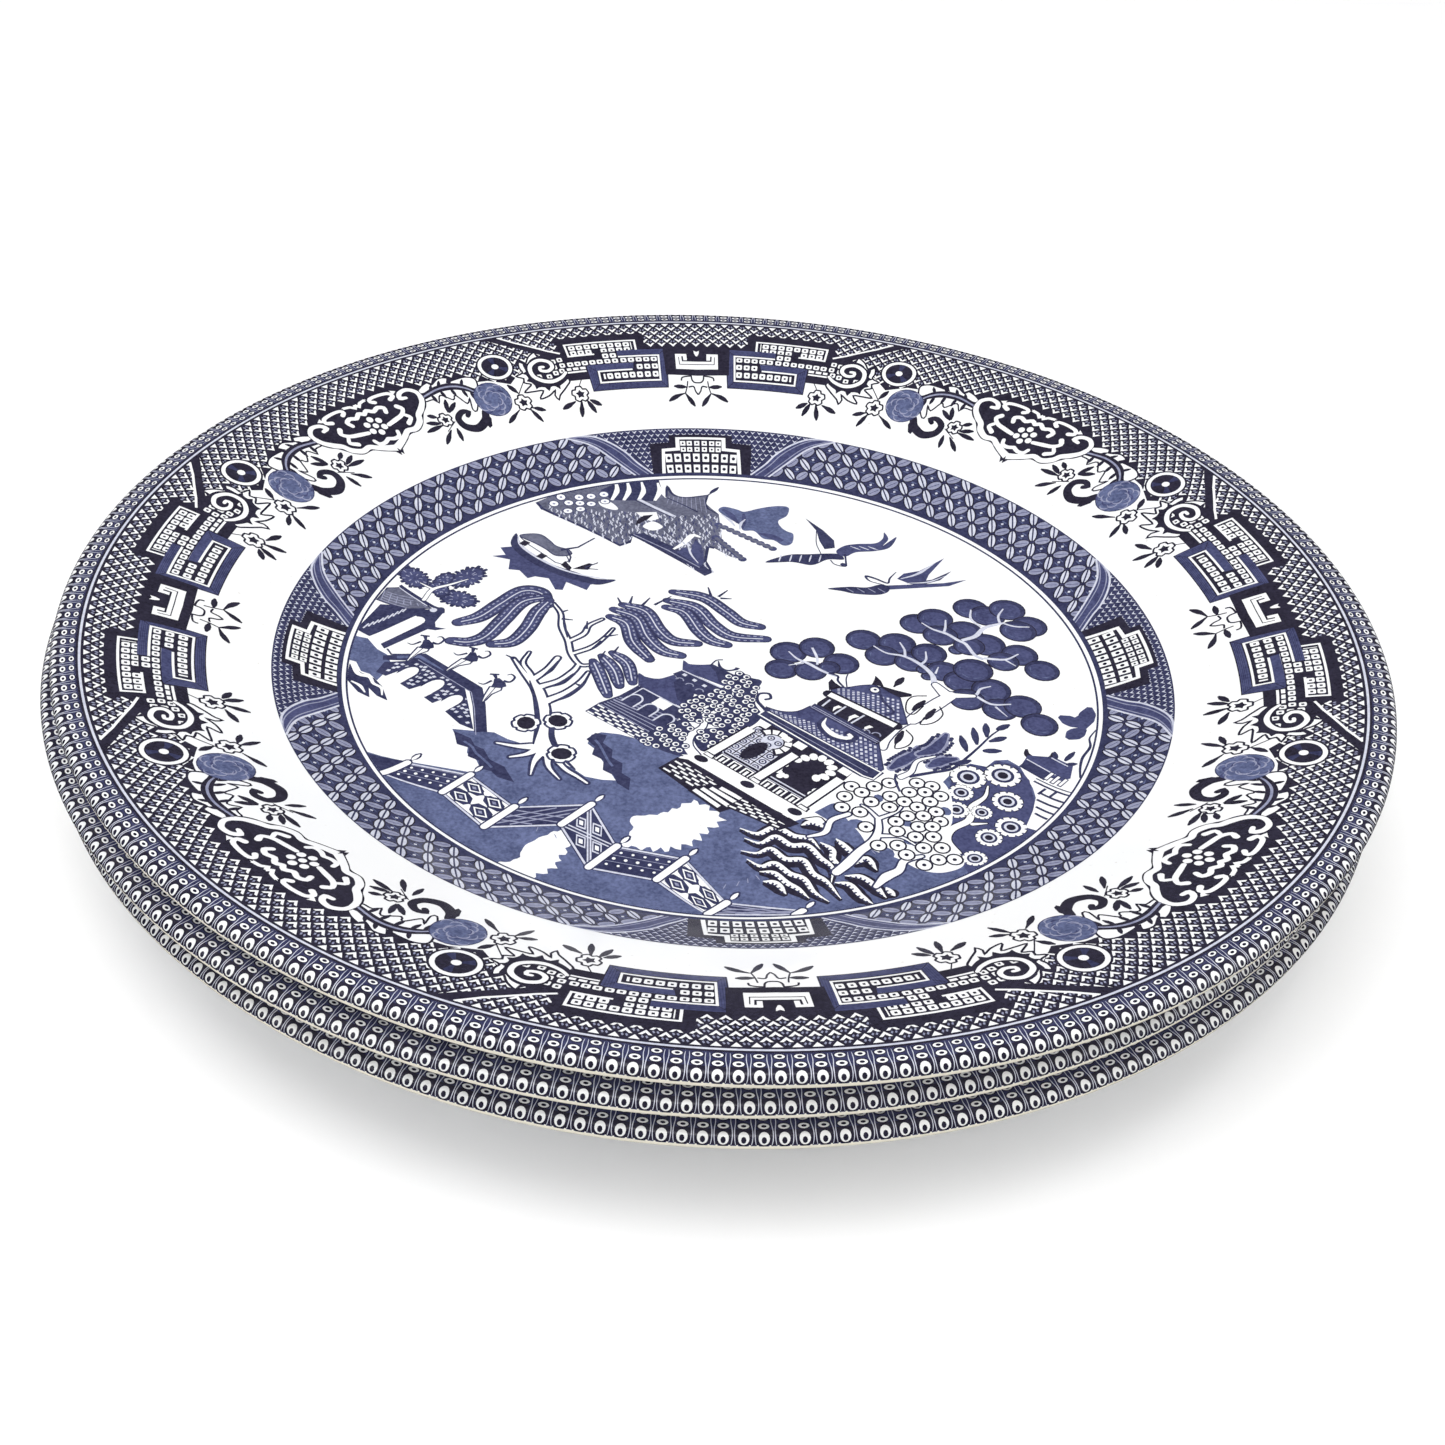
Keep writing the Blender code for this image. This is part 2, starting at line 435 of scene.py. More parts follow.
def draw_key(d):
    """Upper dark frame and lower blue frame of a key panel, with a meander of white cells."""
    d.fill("black", strip([(6.4, 119.9), (17.15, 119.9), (17.15, 111.6), (17.15, 107.7),
                           (14, 107.7), (12, 111.6), (9.9, 112), (6.4, 113.6)]))
    d.fill("black", strip([(13.8, 105.8), (17.3, 105.9), (17.6, 108.4), (13.8, 108.6)]))
    d.stroke(CLEAR, strip([(7.55, 114), (7.55, 117.45), (16.2, 117.45), (16.2, 113.45),
                           (12.9, 113.45)]), 0.5)
    d.stroke(CLEAR, strip([(8.05, 114.3), (8.05, 116.9)]), 0.22)
    for t in (8.65, 9.62, 10.6, 11.58, 12.55, 13.52, 14.5, 15.45):
        cell(d, t, 116.1)
        if not 12 < t < 13:
            cell(d, t, 114.35)
    d.fill("deep", strip([(3.65, 114.1), (10, 114.1), (10, 112.3), (4.7, 112.3), (4.9, 103.9),
                          (13.3, 104.1), (13.2, 108), (8.4, 108), (8.2, 109.9), (14, 110),
                          (14.45, 109.6), (14.5, 102.1), (4, 102)]))
    for step in range(1, 5):
        t, v = 0.24 * step, 0.34 * step
        d.stroke("navy", strip([(9.9, 114 - v), (3.75 + t, 114 - v), (4.05 + t, 102.1 + v),
                                (14.35 - t, 102.2 + v), (14.3 - t, 109.9)]), 0.13)
    d.fill("black", strip([(4.7, 112.4), (10.05, 112.4), (10.05, 109.95), (8.2, 109.95),
                           (8.4, 108), (13.25, 108), (13.3, 104), (4.85, 103.85)]))
    d.fill("black", strip([(10, 113.9), (12.1, 113.9), (12.1, 111.5), (18, 111.7), (18, 110),
                           (10, 109.95)]))
    for t in (10.6, 11.58):
        cell(d, t, 112.6)
    d.stroke(CLEAR, strip([(10, 112.05), (4.85, 112.05), (5, 104.35), (13.1, 104.45),
                           (13, 107.85), (8.5, 107.85)]), 0.48)
    for t in (5.5, 6.48, 7.45, 8.45, 9.42, 10.5, 11.5, 12.5, 13.45, 14.45, 15.4, 16.35):
        cell(d, t, 110.85, 1.5, 1.35)
    for t in (5.5, 6.5, 7.5):
        cell(d, t, 108.6, 1.5, 1.55)
    for t in (5.55, 6.6, 7.65, 8.65, 9.65, 10.65, 11.65):
        cell(d, t, 106.2, 1.5, 1.7)
    d.fill(CLEAR, strip([(12.3, 105.4), (12.55, 105.4), (12.5, 107), (12.25, 107)]))
    for t in (14.9, 15.85, 16.8):
        d.fill(CLEAR, strip(rectangle(t - 0.36, 109, t + 0.36, 109.75)))
    d.stroke(CLEAR, strip([(14.55, 108.4), (17.6, 108.4)]), 0.5)
    d.stroke("black", strip([(3.75, 114), (4.1, 102.1), (14.45, 102.15), (14.4, 109.7)]), 0.22)
    d.stroke("black", strip([(3.9, 114), (4.75, 112.4)]), 0.14)
    d.stroke("black", strip([(4.1, 102.2), (4.9, 103.8)]), 0.14)
    d.stroke("black", strip([(14.4, 102.2), (13.35, 104)]), 0.14)
    d.stroke("black", strip([(14.2, 109.6), (13.3, 108.1)]), 0.14)


def draw_bar(d):
    """Dark bar with a white upper edge, from the key panel up to the rim."""
    lower = [(17.2, 112.3), (19.4, 114.9), (21.9, 118.4), (23.9, 121.3), (25.2, 123.45)]
    upper = [(23.4, 123.45), (21.8, 120.5), (20, 118.1), (18.6, 116.2), (17.1, 114.7)]
    d.fill("black", strip(lower + upper))
    d.stroke(CLEAR, strip([(17.1, 114.75), (18.6, 116.25), (20.05, 118.15), (21.85, 120.55),
                           (23.5, 123.4)]), 0.52)


def draw_scroll(d):
    """White spiral scroll over dark ground and cells, with a leafy fringe below and beyond it."""
    d.outlined(CLEAR, "black", smooth(strip([
        (17.2, 106.4), (18, 104.2), (19.2, 102.2), (19.6, 101), (19.9, 102.4), (19.6, 103.8),
        (20.6, 102.6), (21.8, 102), (22, 102.4), (21.2, 104.2), (22.4, 104.4), (23.7, 104.6),
        (22.8, 105.9), (22.4, 106.6), (23.2, 107.4), (23, 108.6), (23.8, 109.6), (22.8, 110.4),
        (22.9, 112), (22.6, 113.9), (21.9, 113), (21.2, 114.9), (20.2, 116.3), (20, 114.6),
        (19, 109)]), True, 0.8), 0.44)
    d.fill("black", smooth(strip([
        (17.1, 107.6), (17.9, 105.8), (18.7, 104.9), (18.8, 103.9), (19.4, 105), (20, 104.9),
        (20.4, 103.8), (20.8, 105.1), (21.6, 105.3), (22, 104.9), (22, 106), (22.3, 107.2),
        (22.8, 107.7), (22.4, 108.4), (22.5, 109.6), (22.9, 110.1), (22.3, 110.6), (22.3, 112),
        (22.2, 113.2), (21.6, 112.9), (21.2, 113.9), (20.5, 114.6), (19.8, 114.7), (18.5, 114.2),
        (17.2, 112.4)]), True, 0.8))
    for t, v in ((17.4, 110.85), (18.4, 112.4), (18.5, 110.6), (17.5, 112.7), (18.6, 108.8),
                 (19.6, 108), (20.9, 108.4), (17.7, 109.2)):
        cell(d, t, v, 1.35, 1.35)
    coil = [(17.3, 108.6), (18.1, 107.3), (19.4, 106.5), (20.7, 107.1), (21.65, 109),
            (21.5, 111.9), (20.2, 113.5), (18.95, 112.6), (18.75, 110.8), (19.5, 109.75),
            (20.35, 110.2), (20.3, 111.2), (19.85, 111.2)]
    d.curve("black", strip(coil), (1.1, 1.9, 1.9, 1.9, 1.7, 1.2))
    d.curve(CLEAR, strip(coil), (0.7, 1.05, 1.05, 1, 0.95, 0.75), caps=True)


def draw_coin(d):
    """Round medallion: white ring, dark disc with three lighter sectors and a white hub."""
    centre = spot(25.72, 113.8)
    d.rings(centre, ("black", 4.5, 28), (CLEAR, 4.1, 28), ("black", 3.25, 26))
    for start in (75, 198, 300):
        d.fill("navy", arc(centre, 0.9, start, start + 30, 2)
               + arc(centre, 3, start + 30, start, 3))
    d.disc(CLEAR, centre, 0.85, 14)


def blossom(d, t, v, size, turn):
    """Small five-petalled flower: wavy outline, dark star in the middle."""
    centre = spot(t, v)
    star = []
    for petal in range(5):
        angle = turn + 72 * petal
        star += [polar(1.3, angle), polar(0.75, angle + 36)]
    ring = placed(petals(5, 2.25, 18, 1.7, 36, turn), centre, 0, size)
    d.outlined(CLEAR, "black", smooth(ring, True, 0.6), 0.42)
    d.fill("black", placed(star, centre, 0, size))


def leaf(d, ink, root, tip, width=1, stem=0, bow=0):
    """Pointed leaf from root to tip; stem is the share of the length that is bare stalk."""
    root, tip = Vector(root), Vector(tip)
    along = tip - root
    side = Vector((-along.y, along.x)).normalized()
    spine = [root + along * t + side * bow * along.length * 4 * t * (1 - t)
             for t in (0, stem, stem + (1 - stem) * 0.3, stem + (1 - stem) * 0.65, 1)]
    d.curve(ink, [tuple(p) for p in spine], (0.26, 0.45 * width, width, width, 0.3 * width), gap=0.7)


def draw_flowers(d):
    """The three loose flowers of the border, with their leaves and stalks."""
    d.stroke("black", strip([(15.6, 106), (16.3, 103.8)]), 0.24)
    for tip in ((13.9, 98), (15, 96), (17.25, 95.3), (19.6, 98.2)):
        leaf(d, "black", spot(16.3 + (tip[0] - 16.5) * 0.35, 99.9), spot(*tip), 1.35, 0.1)
    blossom(d, 16.4, 101.8, 1, 90)
    d.stroke("black", strip([(23.2, 107.8), (24.8, 104)]), 0.26)
    leaf(d, "black", spot(24.6, 104.6), spot(25.5, 107.7), 1.25, 0.15)
    for tip in ((22, 98.7), (23.1, 95.7), (28, 97.2)):
        leaf(d, "black", spot(24.6 + (tip[0] - 24.6) * 0.28, 100.2), spot(*tip), 1.2, 0.2)
    blossom(d, 24.55, 101.9, 1, 90)
    for root, tip in (((35, 104), (33.3, 106.3)), ((35.1, 104.2), (34.3, 107.8)),
                      ((36.9, 103.8), (38, 105)), ((37, 101.9), (38.8, 103.2)),
                      ((36.8, 101.4), (39.6, 100.9)), ((36.3, 99.6), (38.3, 96.4)),
                      ((35.4, 99.6), (35.8, 95.9))):
        leaf(d, "black", spot(*root), spot(*tip), 1.2, 0.1)
    d.stroke("black", strip([(35, 101.4), (36.9, 99.4)]), 0.22)
    blossom(d, 36.1, 102.5, 0.85, 90)


def draw_fruit(d):
    """Round blue fruit with hatched lights, and the thick dark curl and leaf beside it."""
    curl = [(30.3, 101.6), (31, 99.4), (32.6, 98), (34.1, 99.3), (34.35, 101.8), (33.3, 103.3),
            (32.5, 102.7), (32.9, 101.9)]
    d.fill("black", strip([(30.2, 101.6), (31.2, 98.9), (31, 97.2), (30.5, 97.6), (30, 99.6)]))
    d.curve("black", strip(curl), (1.9, 2.2, 2.1, 1.9, 1.5, 1.2), caps=True)
    centre = spot(28.3, 104.6)
    d.rings(centre, ("navy", (4.85, 5.05), 26), ("wash", (4.65, 4.85), 26))
    for ink, count, size in (("deep", 9, 0.5), ("tint", 16, 0.44)):
        for index in range(count):
            turn = 360 / count * index + (20 if ink == "tint" else 0)
            reach = 1.3 + 2.2 * (index % 3) / 2
            d.curve(ink, placed(arc((reach, 0), 1.2, -100, 60, 6), centre, turn), (0.08, size, 0.08))


def draw_acanthus(d):
    """Leaf that arches from the fruit to the cartouche, flames above it and lobes below."""
    flames = strip([(29, 111.2), (30, 112.6), (31.6, 112.6), (32.6, 112.4), (32.2, 113.6),
                    (33.3, 114.2), (34.6, 112.9), (34.9, 113.9), (36.2, 113), (36.9, 111.4),
                    (34, 110.8), (31.2, 110.4), (29.6, 108.4)])
    d.outlined(CLEAR, "black", smooth(flames, True, 0.8), 0.42)
    lobes = strip([(29.9, 108.2), (30.4, 105), (31.3, 102.5), (31.7, 103.2), (31.2, 106.3),
                   (31.9, 105.1), (32.7, 108.2), (33.3, 107.1), (34.5, 109.3), (35.3, 107.4),
                   (35.7, 108.7), (36.9, 108.8), (36.8, 110.6), (33.5, 111), (31, 110)])
    d.outlined(CLEAR, "black", smooth(lobes, True, 0.8), 0.38)
    rib = strip([(29.9, 107.4), (30.8, 109.3), (32.2, 110.8), (34.2, 111.2), (36.8, 110.1)])
    d.curve("black", rib, (1.2, 2, 2.2, 2, 1.6))
    for t, v in ((31.2, 110.9), (32.6, 112), (34, 112.2), (35.3, 111.6)):
        leaf(d, "black", spot(t, v - 0.6), spot(t - 0.6, v + 1.3), 0.8)
    for t, v in ((30.6, 107.4), (31.4, 108.8), (32.7, 109.8), (34.1, 110), (35.5, 109.6)):
        leaf(d, "black", spot(t, v + 0.5), spot(t - 0.1, v - 2), 0.85)
    d.curve("tint", rib, (0.35, 0.5, 0.5, 0.45))


def draw_cartouche(d):
    """Half of the dark cartouche: white lobed outline, curls, and a flower at its middle."""
    outer = strip([(36.6, 110.6), (36.65, 112.4), (37.5, 114.3), (38.9, 114.5), (39.8, 113.6),
                   (39.9, 115.2), (41, 115.6), (42.7, 115.5), (43.3, 114.9), (44.2, 115),
                   (45, 115), (45, 98.8), (44.4, 99.4), (42.9, 100.8), (41.8, 102), (40.4, 102),
                   (39.3, 103.2), (38.6, 104.8), (38.1, 106), (37.3, 107.2), (36.7, 108.9)])
    d.fill("black", smooth(outer, True, 0.8))
    low = [(36.9, 110.9), (37.25, 109), (38.1, 107.2), (38.9, 106), (39.4, 104.3), (40.6, 102.9),
           (41.8, 103.1), (42.7, 102.1), (43.9, 101), (45, 100.2)]
    d.curve(CLEAR, strip(low), (1.2, 1.3, 1.5, 1.4, 1.5, 1.4, 1.3, 1.4, 1.6, 1.8))
    d.curve(CLEAR, strip([(36.95, 109.9), (37, 112.2), (37.9, 113.7), (39, 113.3), (39.4, 111.9),
                          (38.7, 111.5)]), (1.1, 1.1, 1.1, 1.1, 1.2, 0.9), caps=True)
    d.curve(CLEAR, strip([(40.6, 112.5), (40, 113.2), (40.3, 114.4), (41.7, 114.8), (42.8, 114.6),
                          (43, 113.8), (42.6, 113.2)]), (1.2, 1, 0.95, 0.9, 0.9, 1.1), caps=True)
    d.curve(CLEAR, strip([(43.4, 114.9), (44.3, 114.5), (44.7, 113.7), (45, 114.6)]), 0.8)
    d.curve(CLEAR, strip([(40.6, 110.1), (40.2, 108.9), (40.9, 107.5), (42.2, 106.8), (43.4, 106.3)]),
            (1.3, 1, 1.1, 1.15, 1), caps=True)
    d.curve(CLEAR, strip([(40.5, 107.2), (40.1, 106), (40.9, 104.8)]), (0.9, 1, 1.2), caps=True)
    d.curve(CLEAR, strip([(42.4, 109.6), (42.2, 110.9), (42.9, 111.6), (43.7, 111), (44.4, 111.9),
                          (45, 111.2)]), 1.1, caps=True)
    d.curve(CLEAR, strip([(43.1, 103.9), (43.4, 102.7), (44.2, 102.5), (45, 103.1)]), 1, caps=True)
    hub = spot(45, 107.3)
    d.disc(CLEAR, hub, 0.75, 14)
    for petal in range(6):
        d.disc(CLEAR, arc(hub, 2.05, 60 * petal + 30, 0, 1)[0], 0.82, 14)


def draw_lotus(d):
    """Half of the outlined lotus under the bracket, with its leafy sprig."""
    line = 0.4
    d.curve("black", strip([(0, 103.4), (0.45, 103.5), (0.75, 104.2), (0.85, 105.6)]), line)
    d.curve("black", strip([(0, 99.9), (0.35, 100.9), (0.6, 102.3), (1.3, 102.1)]), line)
    d.curve("black", strip([(0.9, 105.4), (1.5, 105.3), (2.1, 104.9), (2.2, 104)]), line)
    d.curve("black", strip([(1.35, 103.9), (1.5, 102.1), (1.8, 100.2)]), 0.32)
    leaf(d, "black", spot(1.8, 100.3), spot(0.5, 96.5), 1.25, 0.1)
    leaf(d, "black", spot(1.8, 100.3), spot(4.2, 98), 1.25, 0.15, 0.05)
    leaf(d, "black", spot(1.5, 102.1), spot(3.3, 102.4), 1.2, 0.1)


def border_mosaic():
    """The eighth of the border between a key panel and a cartouche."""
    d = Drawing()
    draw_trellis(d)
    draw_lotus(d)
    draw_key(d)
    draw_bracket(d)
    draw_flowers(d)
    draw_bar(d)
    draw_scroll(d)
    draw_coin(d)
    draw_acanthus(d)
    draw_fruit(d)
    draw_cartouche(d)
    d.fill("black", strip(rectangle(-1, 123.4, 46, 124.75)))
    d.fill("pale", strip(rectangle(-1, 123.85, 46, 124.3)))
    region = rectangle(0, BORDER_LOW, EIGHTH, BORDER_HIGH)
    return d.mosaic(region, grid=strip_grid(EIGHTH, BORDER_LOW, BORDER_HIGH))


# ---------------------------------------------------------------------------------------------
# Bead band: one bead, repeated round the rolled edge

BEADS = 264
BEAD_ARC = 127
BEAD_HALF = math.pi * BEAD_ARC / BEADS
BEAD_LOW, BEAD_HIGH = 124.75, 130.35


def bead_mosaic():
    """One bead: two small eyes and a large one, between white curves and dark bars."""
    d = Drawing()
    h = BEAD_HALF
    d.fill("navy", [(-h, BEAD_LOW), (h, BEAD_LOW), (h, 130.25), (h * 0.75, 130.3), (h * 0.6, 129.9),
                    (h * 0.5, 130.3), (0, 130.45), (-h * 0.5, 130.3), (-h * 0.6, 129.9),
                    (-h * 0.75, 130.3), (-h, 130.25)])
    d.fill("black", rectangle(-h, 127.6, h, 130.1))
    for side in (-1, 1):
        curve = [(1.22, 125), (1.14, 126.2), (1.3, 127.4), (1.36, 128.4), (1.3, 129.4), (1.16, 130.1)]
        d.curve("pale", [(side * x, y) for x, y in curve], (0.06, 0.12, 0.13, 0.16, 0.13, 0.08))
    for y, across, up in ((125.42, 0.84, 0.46), (127, 0.88, 0.52)):
        d.rings((0, y), ("black", (across + 0.2, up + 0.18), 12), (CLEAR, (across, up), 12))
        d.disc("black", (0.03, y), (0.42, 0.25), 8)
    d.disc("black", (0, 129.1), (1.14, 1.28), 16)
    d.disc(CLEAR, (0, 129.08), (0.84, 1.02), 16)
    d.disc("black", (0, 129.35), (0.4, 0.52), 8)
    return d.mosaic(rectangle(-h, BEAD_LOW, h, BEAD_HIGH), longest=0.8)


# ---------------------------------------------------------------------------------------------
# Inner band: a quarter of the ring between the centre and the border

BAND_ARC = 83
BAND_MM = math.radians(BAND_ARC)
BAND_LOW, BAND_HIGH = 75.95, 90.25
BAND_QUARTER = 90 * BAND_MM


def draw_lattice(d):
    """Diagonal lattice of ovals round small squares; bright double ones one way, dull ones across."""
    columns, rows = 21, 4
    pitch = 90 / columns * BAND_MM
    first_row, row_step = 79.6, 3.2
    tilt = math.degrees(math.atan2(row_step, pitch / 2))
    for row in range(rows):
        for column in range(-1, 2 * columns + 2):
            x, y = (column + 0.1) * pitch / 2, first_row + row_step * row
            if (column + row) % 2:
                d.rings((x, y), ("black", (2.15, 1.08), 12), ("pale", (1.9, 0.8), 12), turn=-tilt)
                d.stroke("navy", placed([(-1.9, 0), (1.9, 0)], (x, y), -tilt), 0.32)
            else:
                d.rings((x, y), ("black", (1.85, 1.2), 12), ("tint", (1.62, 0.96), 12), turn=tilt)
                d.stroke("deep", placed([(-1.2, 0), (1.2, 0)], (x, y), tilt), 0.16)
                x, y = x - pitch / 4, y + row_step / 2
                for shift in (-0.6, 0.6):
                    d.stroke("wash", [(x - 0.6, y + shift), (x + 0.6, y + shift)], 0.24)
                d.disc("pale", (x, y), 0.36, 4)


def draw_band_panel(d, flip):
    """Stepped dark panel of cells with fine trellis and two curved lines beside it."""
    def at(points):
        """Band points from (degrees, radius) pairs, counted from the panel's own end."""
        return [(BAND_QUARTER - t * BAND_MM if flip else t * BAND_MM, v) for t, v in points]

    sweep_in = [(8.4, 77.8), (10.8, 81.4), (12.3, 84.4), (14.6, 87.6), (17, 89.7), (19.8, 90.4)]
    sweep_out = [(11.6, 77.8), (13.2, 80.4), (15, 83.4), (16.8, 86.4), (18.4, 88.2), (21, 90.2)]
    d.fill("deep", smooth(at(sweep_out), gap=1.5) + at([(0, 90.4), (0, 77.7)]))
    d.fill("navy", smooth(at(sweep_in), gap=1.5) + at([(0, 90.4), (0, 77.7)]))
    for row in range(11):
        v = 78.2 + 1.15 * row
        limit = np.interp(v, [p[1] for p in sweep_in], [p[0] for p in sweep_in])
        for column in range(19):
            t = 1.02 * column + (0.51 if row % 2 else 0)
            if t < limit - 0.3:
                (x, y), = at([(t, v)])
                d.fill("pale", [(x - 0.6, y + 0.34), (x, y - 0.5), (x + 0.6, y + 0.34), (x, y - 0.02)])
    for line, shift in ((sweep_in, 0.8), (sweep_out, -0.8)):
        d.curve("pale", at(line), 0.42)
        d.curve("tint", at([(t + shift, v - 0.1) for t, v in line]), 0.24)
    d.fill("black", at([(-0.1, 88.5), (5, 88.4), (5, 86.4), (8.2, 86.2), (8.5, 77.7), (-0.1, 77.7)]))
    d.fill(CLEAR, at([(-0.1, 87.75), (3.95, 87.75), (4.05, 84.95), (6.35, 84.75), (6.95, 77.7),
                      (6.35, 77.7), (5.9, 84), (3.4, 84.2), (3.35, 87.15), (-0.1, 87.15)]))
    for t in (0.78, 2.34, 3.9, 5.4):
        for v in (79.2, 82.2):
            middle, = at([(t, v)])
            d.fill(CLEAR, block(0.8, 1.12, middle))
            d.disc("black", middle, 0.44, 8)
    for t in (0.6, 1.8, 2.85):
        for v in (84.45, 86.1):
            middle, = at([(t, v)])
            d.fill(CLEAR, block(0.6, 0.62, middle))
            d.disc("black", middle, 0.26, 6)


def band_mosaic():
    """A quarter of the inner band, with the white line that closes it on the inside."""
    d = Drawing()
    low, high, q = BAND_LOW, BAND_HIGH, BAND_QUARTER
    d.fill("navy", rectangle(-1, 77.3, q + 1, high))
    draw_lattice(d)
    d.fill("navy", rectangle(-1, 90, q + 1, high))
    draw_band_panel(d, False)
    draw_band_panel(d, True)
    d.fill("navy", rectangle(-1, low, q + 1, 78))
    d.fill(CLEAR, rectangle(-1, 76.35, q + 1, 77.1))
    return d.mosaic(rectangle(0, low, q, high), longest=2, grid=strip_grid(q, low, high, 2))


# ---------------------------------------------------------------------------------------------
# Centre: a traditional garden by the water, in plan millimetres, x to the right and y away

CENTRE_RADIUS = 75.95


def boughs(d, paths, line=0.36, ink="navy"):
    """White branches with a line along both sides, joined where they meet."""
    for points, widths in paths:
        wider = tuple(w + 2 * line for w in widths)
        d.curve(ink, points, wider, caps=True)
    for points, widths in paths:
        d.curve(CLEAR, points, widths, caps=True)


def leaves(d, ink, pairs, width):
    """A leaf for each (root, tip)."""
    for root, tip in pairs:
        leaf(d, ink, root, tip, width)


def scattered(outline, pitch):
    """Places on a loose triangular grid within an outline."""
    low_x, low_y = min(p[0] for p in outline), min(p[1] for p in outline)
    high_x, high_y = max(p[0] for p in outline), max(p[1] for p in outline)
    places = []
    closer = 0.87                              # rows of a triangular grid stand nearer than its columns
    stray = 0.2                                # and each place wanders off by up to this share
    for row in range(int((high_y - low_y) / (pitch * closer)) + 1):
        for column in range(int((high_x - low_x) / pitch) + 1):
            x = low_x + pitch * (column + 0.5 * (row % 2))
            x += stray * pitch * math.sin(5 * row + 3 * column)
            y = low_y + pitch * closer * row + stray * pitch * math.cos(4 * column + row)
            inside = False
            for (ax, ay), (bx, by) in zip(outline, outline[1:] + outline[:1]):
                if (ay > y) != (by > y) and x < ax + (bx - ax) * (y - ay) / (by - ay):
                    inside = not inside
            if inside:
                places.append((x, y))
    return places


def draw_water_and_ground(d):
    """Blue ground along the fence and under the trees, with ragged gaps of white water."""
    shore = [(-54.3, -21.6), (-53.4, -24.4), (-51, -26.2), (-51.2, -29.2), (-49.3, -31.4),
             (-48.6, -33.6), (-50, -35.2), (-62, -31.9), (-72.5, -29)]
    right = [(56.2, -50.5), (56.4, -40), (55.2, -33.4), (53.2, -31.2), (50.6, -31.4), (48.6, -33.4),
             (45.6, -32.4), (42.4, -34.2), (39.4, -38), (17, -44.6), (11, -49), (-9, -41),
             (-14.8, -33.8), (-9.4, -29.4), (-14, -27.2), (-18.4, -24.8), (-22, -23.2),
             (-25.4, -22.6), (-27.4, -23.4), (-28.2, -26.2), (-26.6, -28.2), (-25.6, -31.2),
             (-24.2, -34.6), (-23, -37.6), (-25.6, -37.4), (-28.8, -36.4), (-31.4, -33.6),
             (-34.4, -31.4), (-37.6, -29.2), (-40.4, -27.4), (-41.2, -26), (-43.6, -24.8),
             (-46.2, -22.7), (-50.2, -22.2)]
    d.fill("wash", shore + arc((0, 0), 80, 201, 318, 40) + right)
    for rock in ([(-54, -22.2), (-50.6, -24.6), (-49.8, -26.8), (-48, -28), (-46.8, -31.2),
                  (-44, -33.4), (-42, -38.2), (-45.2, -36.6), (-46.4, -34.8), (-48.6, -34),
                  (-48.8, -31.6), (-51, -30.2), (-50.8, -27.6), (-53.2, -26.4)],
                 [(-28.4, -24.8), (-26.6, -22.8), (-24.4, -23.6), (-25.2, -26), (-23.4, -28.2),
                  (-23.6, -30.6), (-21.6, -32.4), (-21.8, -35.4), (-20.2, -37), (-20.6, -40.6),
                  (-22.8, -38.4), (-23.4, -36), (-25.4, -34.4), (-25.2, -31.4), (-27.4, -29.6),
                  (-26.8, -27.2)]):
        d.fill("navy", rock)
        d.curve("wash", [(0.5 * (a[0] + b[0]), 0.5 * (a[1] + b[1])) for a, b in
                         zip(rock[1:6], rock[:-6:-1])], 0.5)
    for bank, jag in (([(-45.2, -62.2), (-41, -60), (-39.6, -56.2), (-34, -52.2), (-31.8, -52.4),
                        (-32, -57.2), (-33.6, -59.8), (-34.4, -62.2), (-38.4, -65.6), (-41.5, -68),
                        (-46, -65)], 0.7),
                      ([(-22.6, -56.2), (-20.3, -52), (-20.4, -48.4), (-15.6, -47.6), (-12, -45.8),
                        (-8.6, -43.8), (-5, -46.6), (-3.6, -49.2), (-6.6, -52.4), (-9.4, -55.6),
                        (-14, -57.6), (-18, -57.2)], 0.8)):
        line = smooth(bank, True, 0.8)
        ragged = []
        for index, (x, y) in enumerate(line):
            before, after = line[index - 1], line[(index + 1) % len(line)]
            length = math.hypot(after[0] - before[0], after[1] - before[1]) or 1
            push = jag * (0.6 * math.sin(1.9 * index) + 0.5 * math.sin(4.3 * index + 1))
            ragged.append((x + push * (after[1] - before[1]) / length,
                           y - push * (after[0] - before[0]) / length))
        d.fill(CLEAR, ragged)
    for index in range(46):
        x = -64 + 2.9 * index + 1.2 * math.sin(7 * index)
        y = -math.sqrt(max(0, 71.5 ** 2 - x * x)) + 3 + 5.5 * abs(math.sin(3.3 * index))
        if y < -41 and x < 44:
            d.curve("tint", [(x, y), (x + 0.7 * math.sin(index), y + 1.3)], (0.1, 0.22, 0.08))


POSTS = (((-66.5, -36), (-62.2, -32.2)), ((-55.2, -41), (-50.2, -35.8)),
         ((-47.2, -51), (-41.8, -45.3)), ((-33.2, -50.4), (-27.6, -44.6)),
         ((-28.4, -62.2), (-23.2, -56.5)), ((-16.4, -65.6), (-11, -60)),
         ((-8, -75.2), (-4.4, -71.8)), ((7.2, -75.6), (8.7, -74.3)))


def panel_point(panel, u, v):
    """Point of a fence panel, u along from post to post and v up from foot to head."""
    foot, head, next_foot, next_head = (Vector(p) for p in panel)
    return tuple(foot.lerp(next_foot, u).lerp(head.lerp(next_head, u), v))


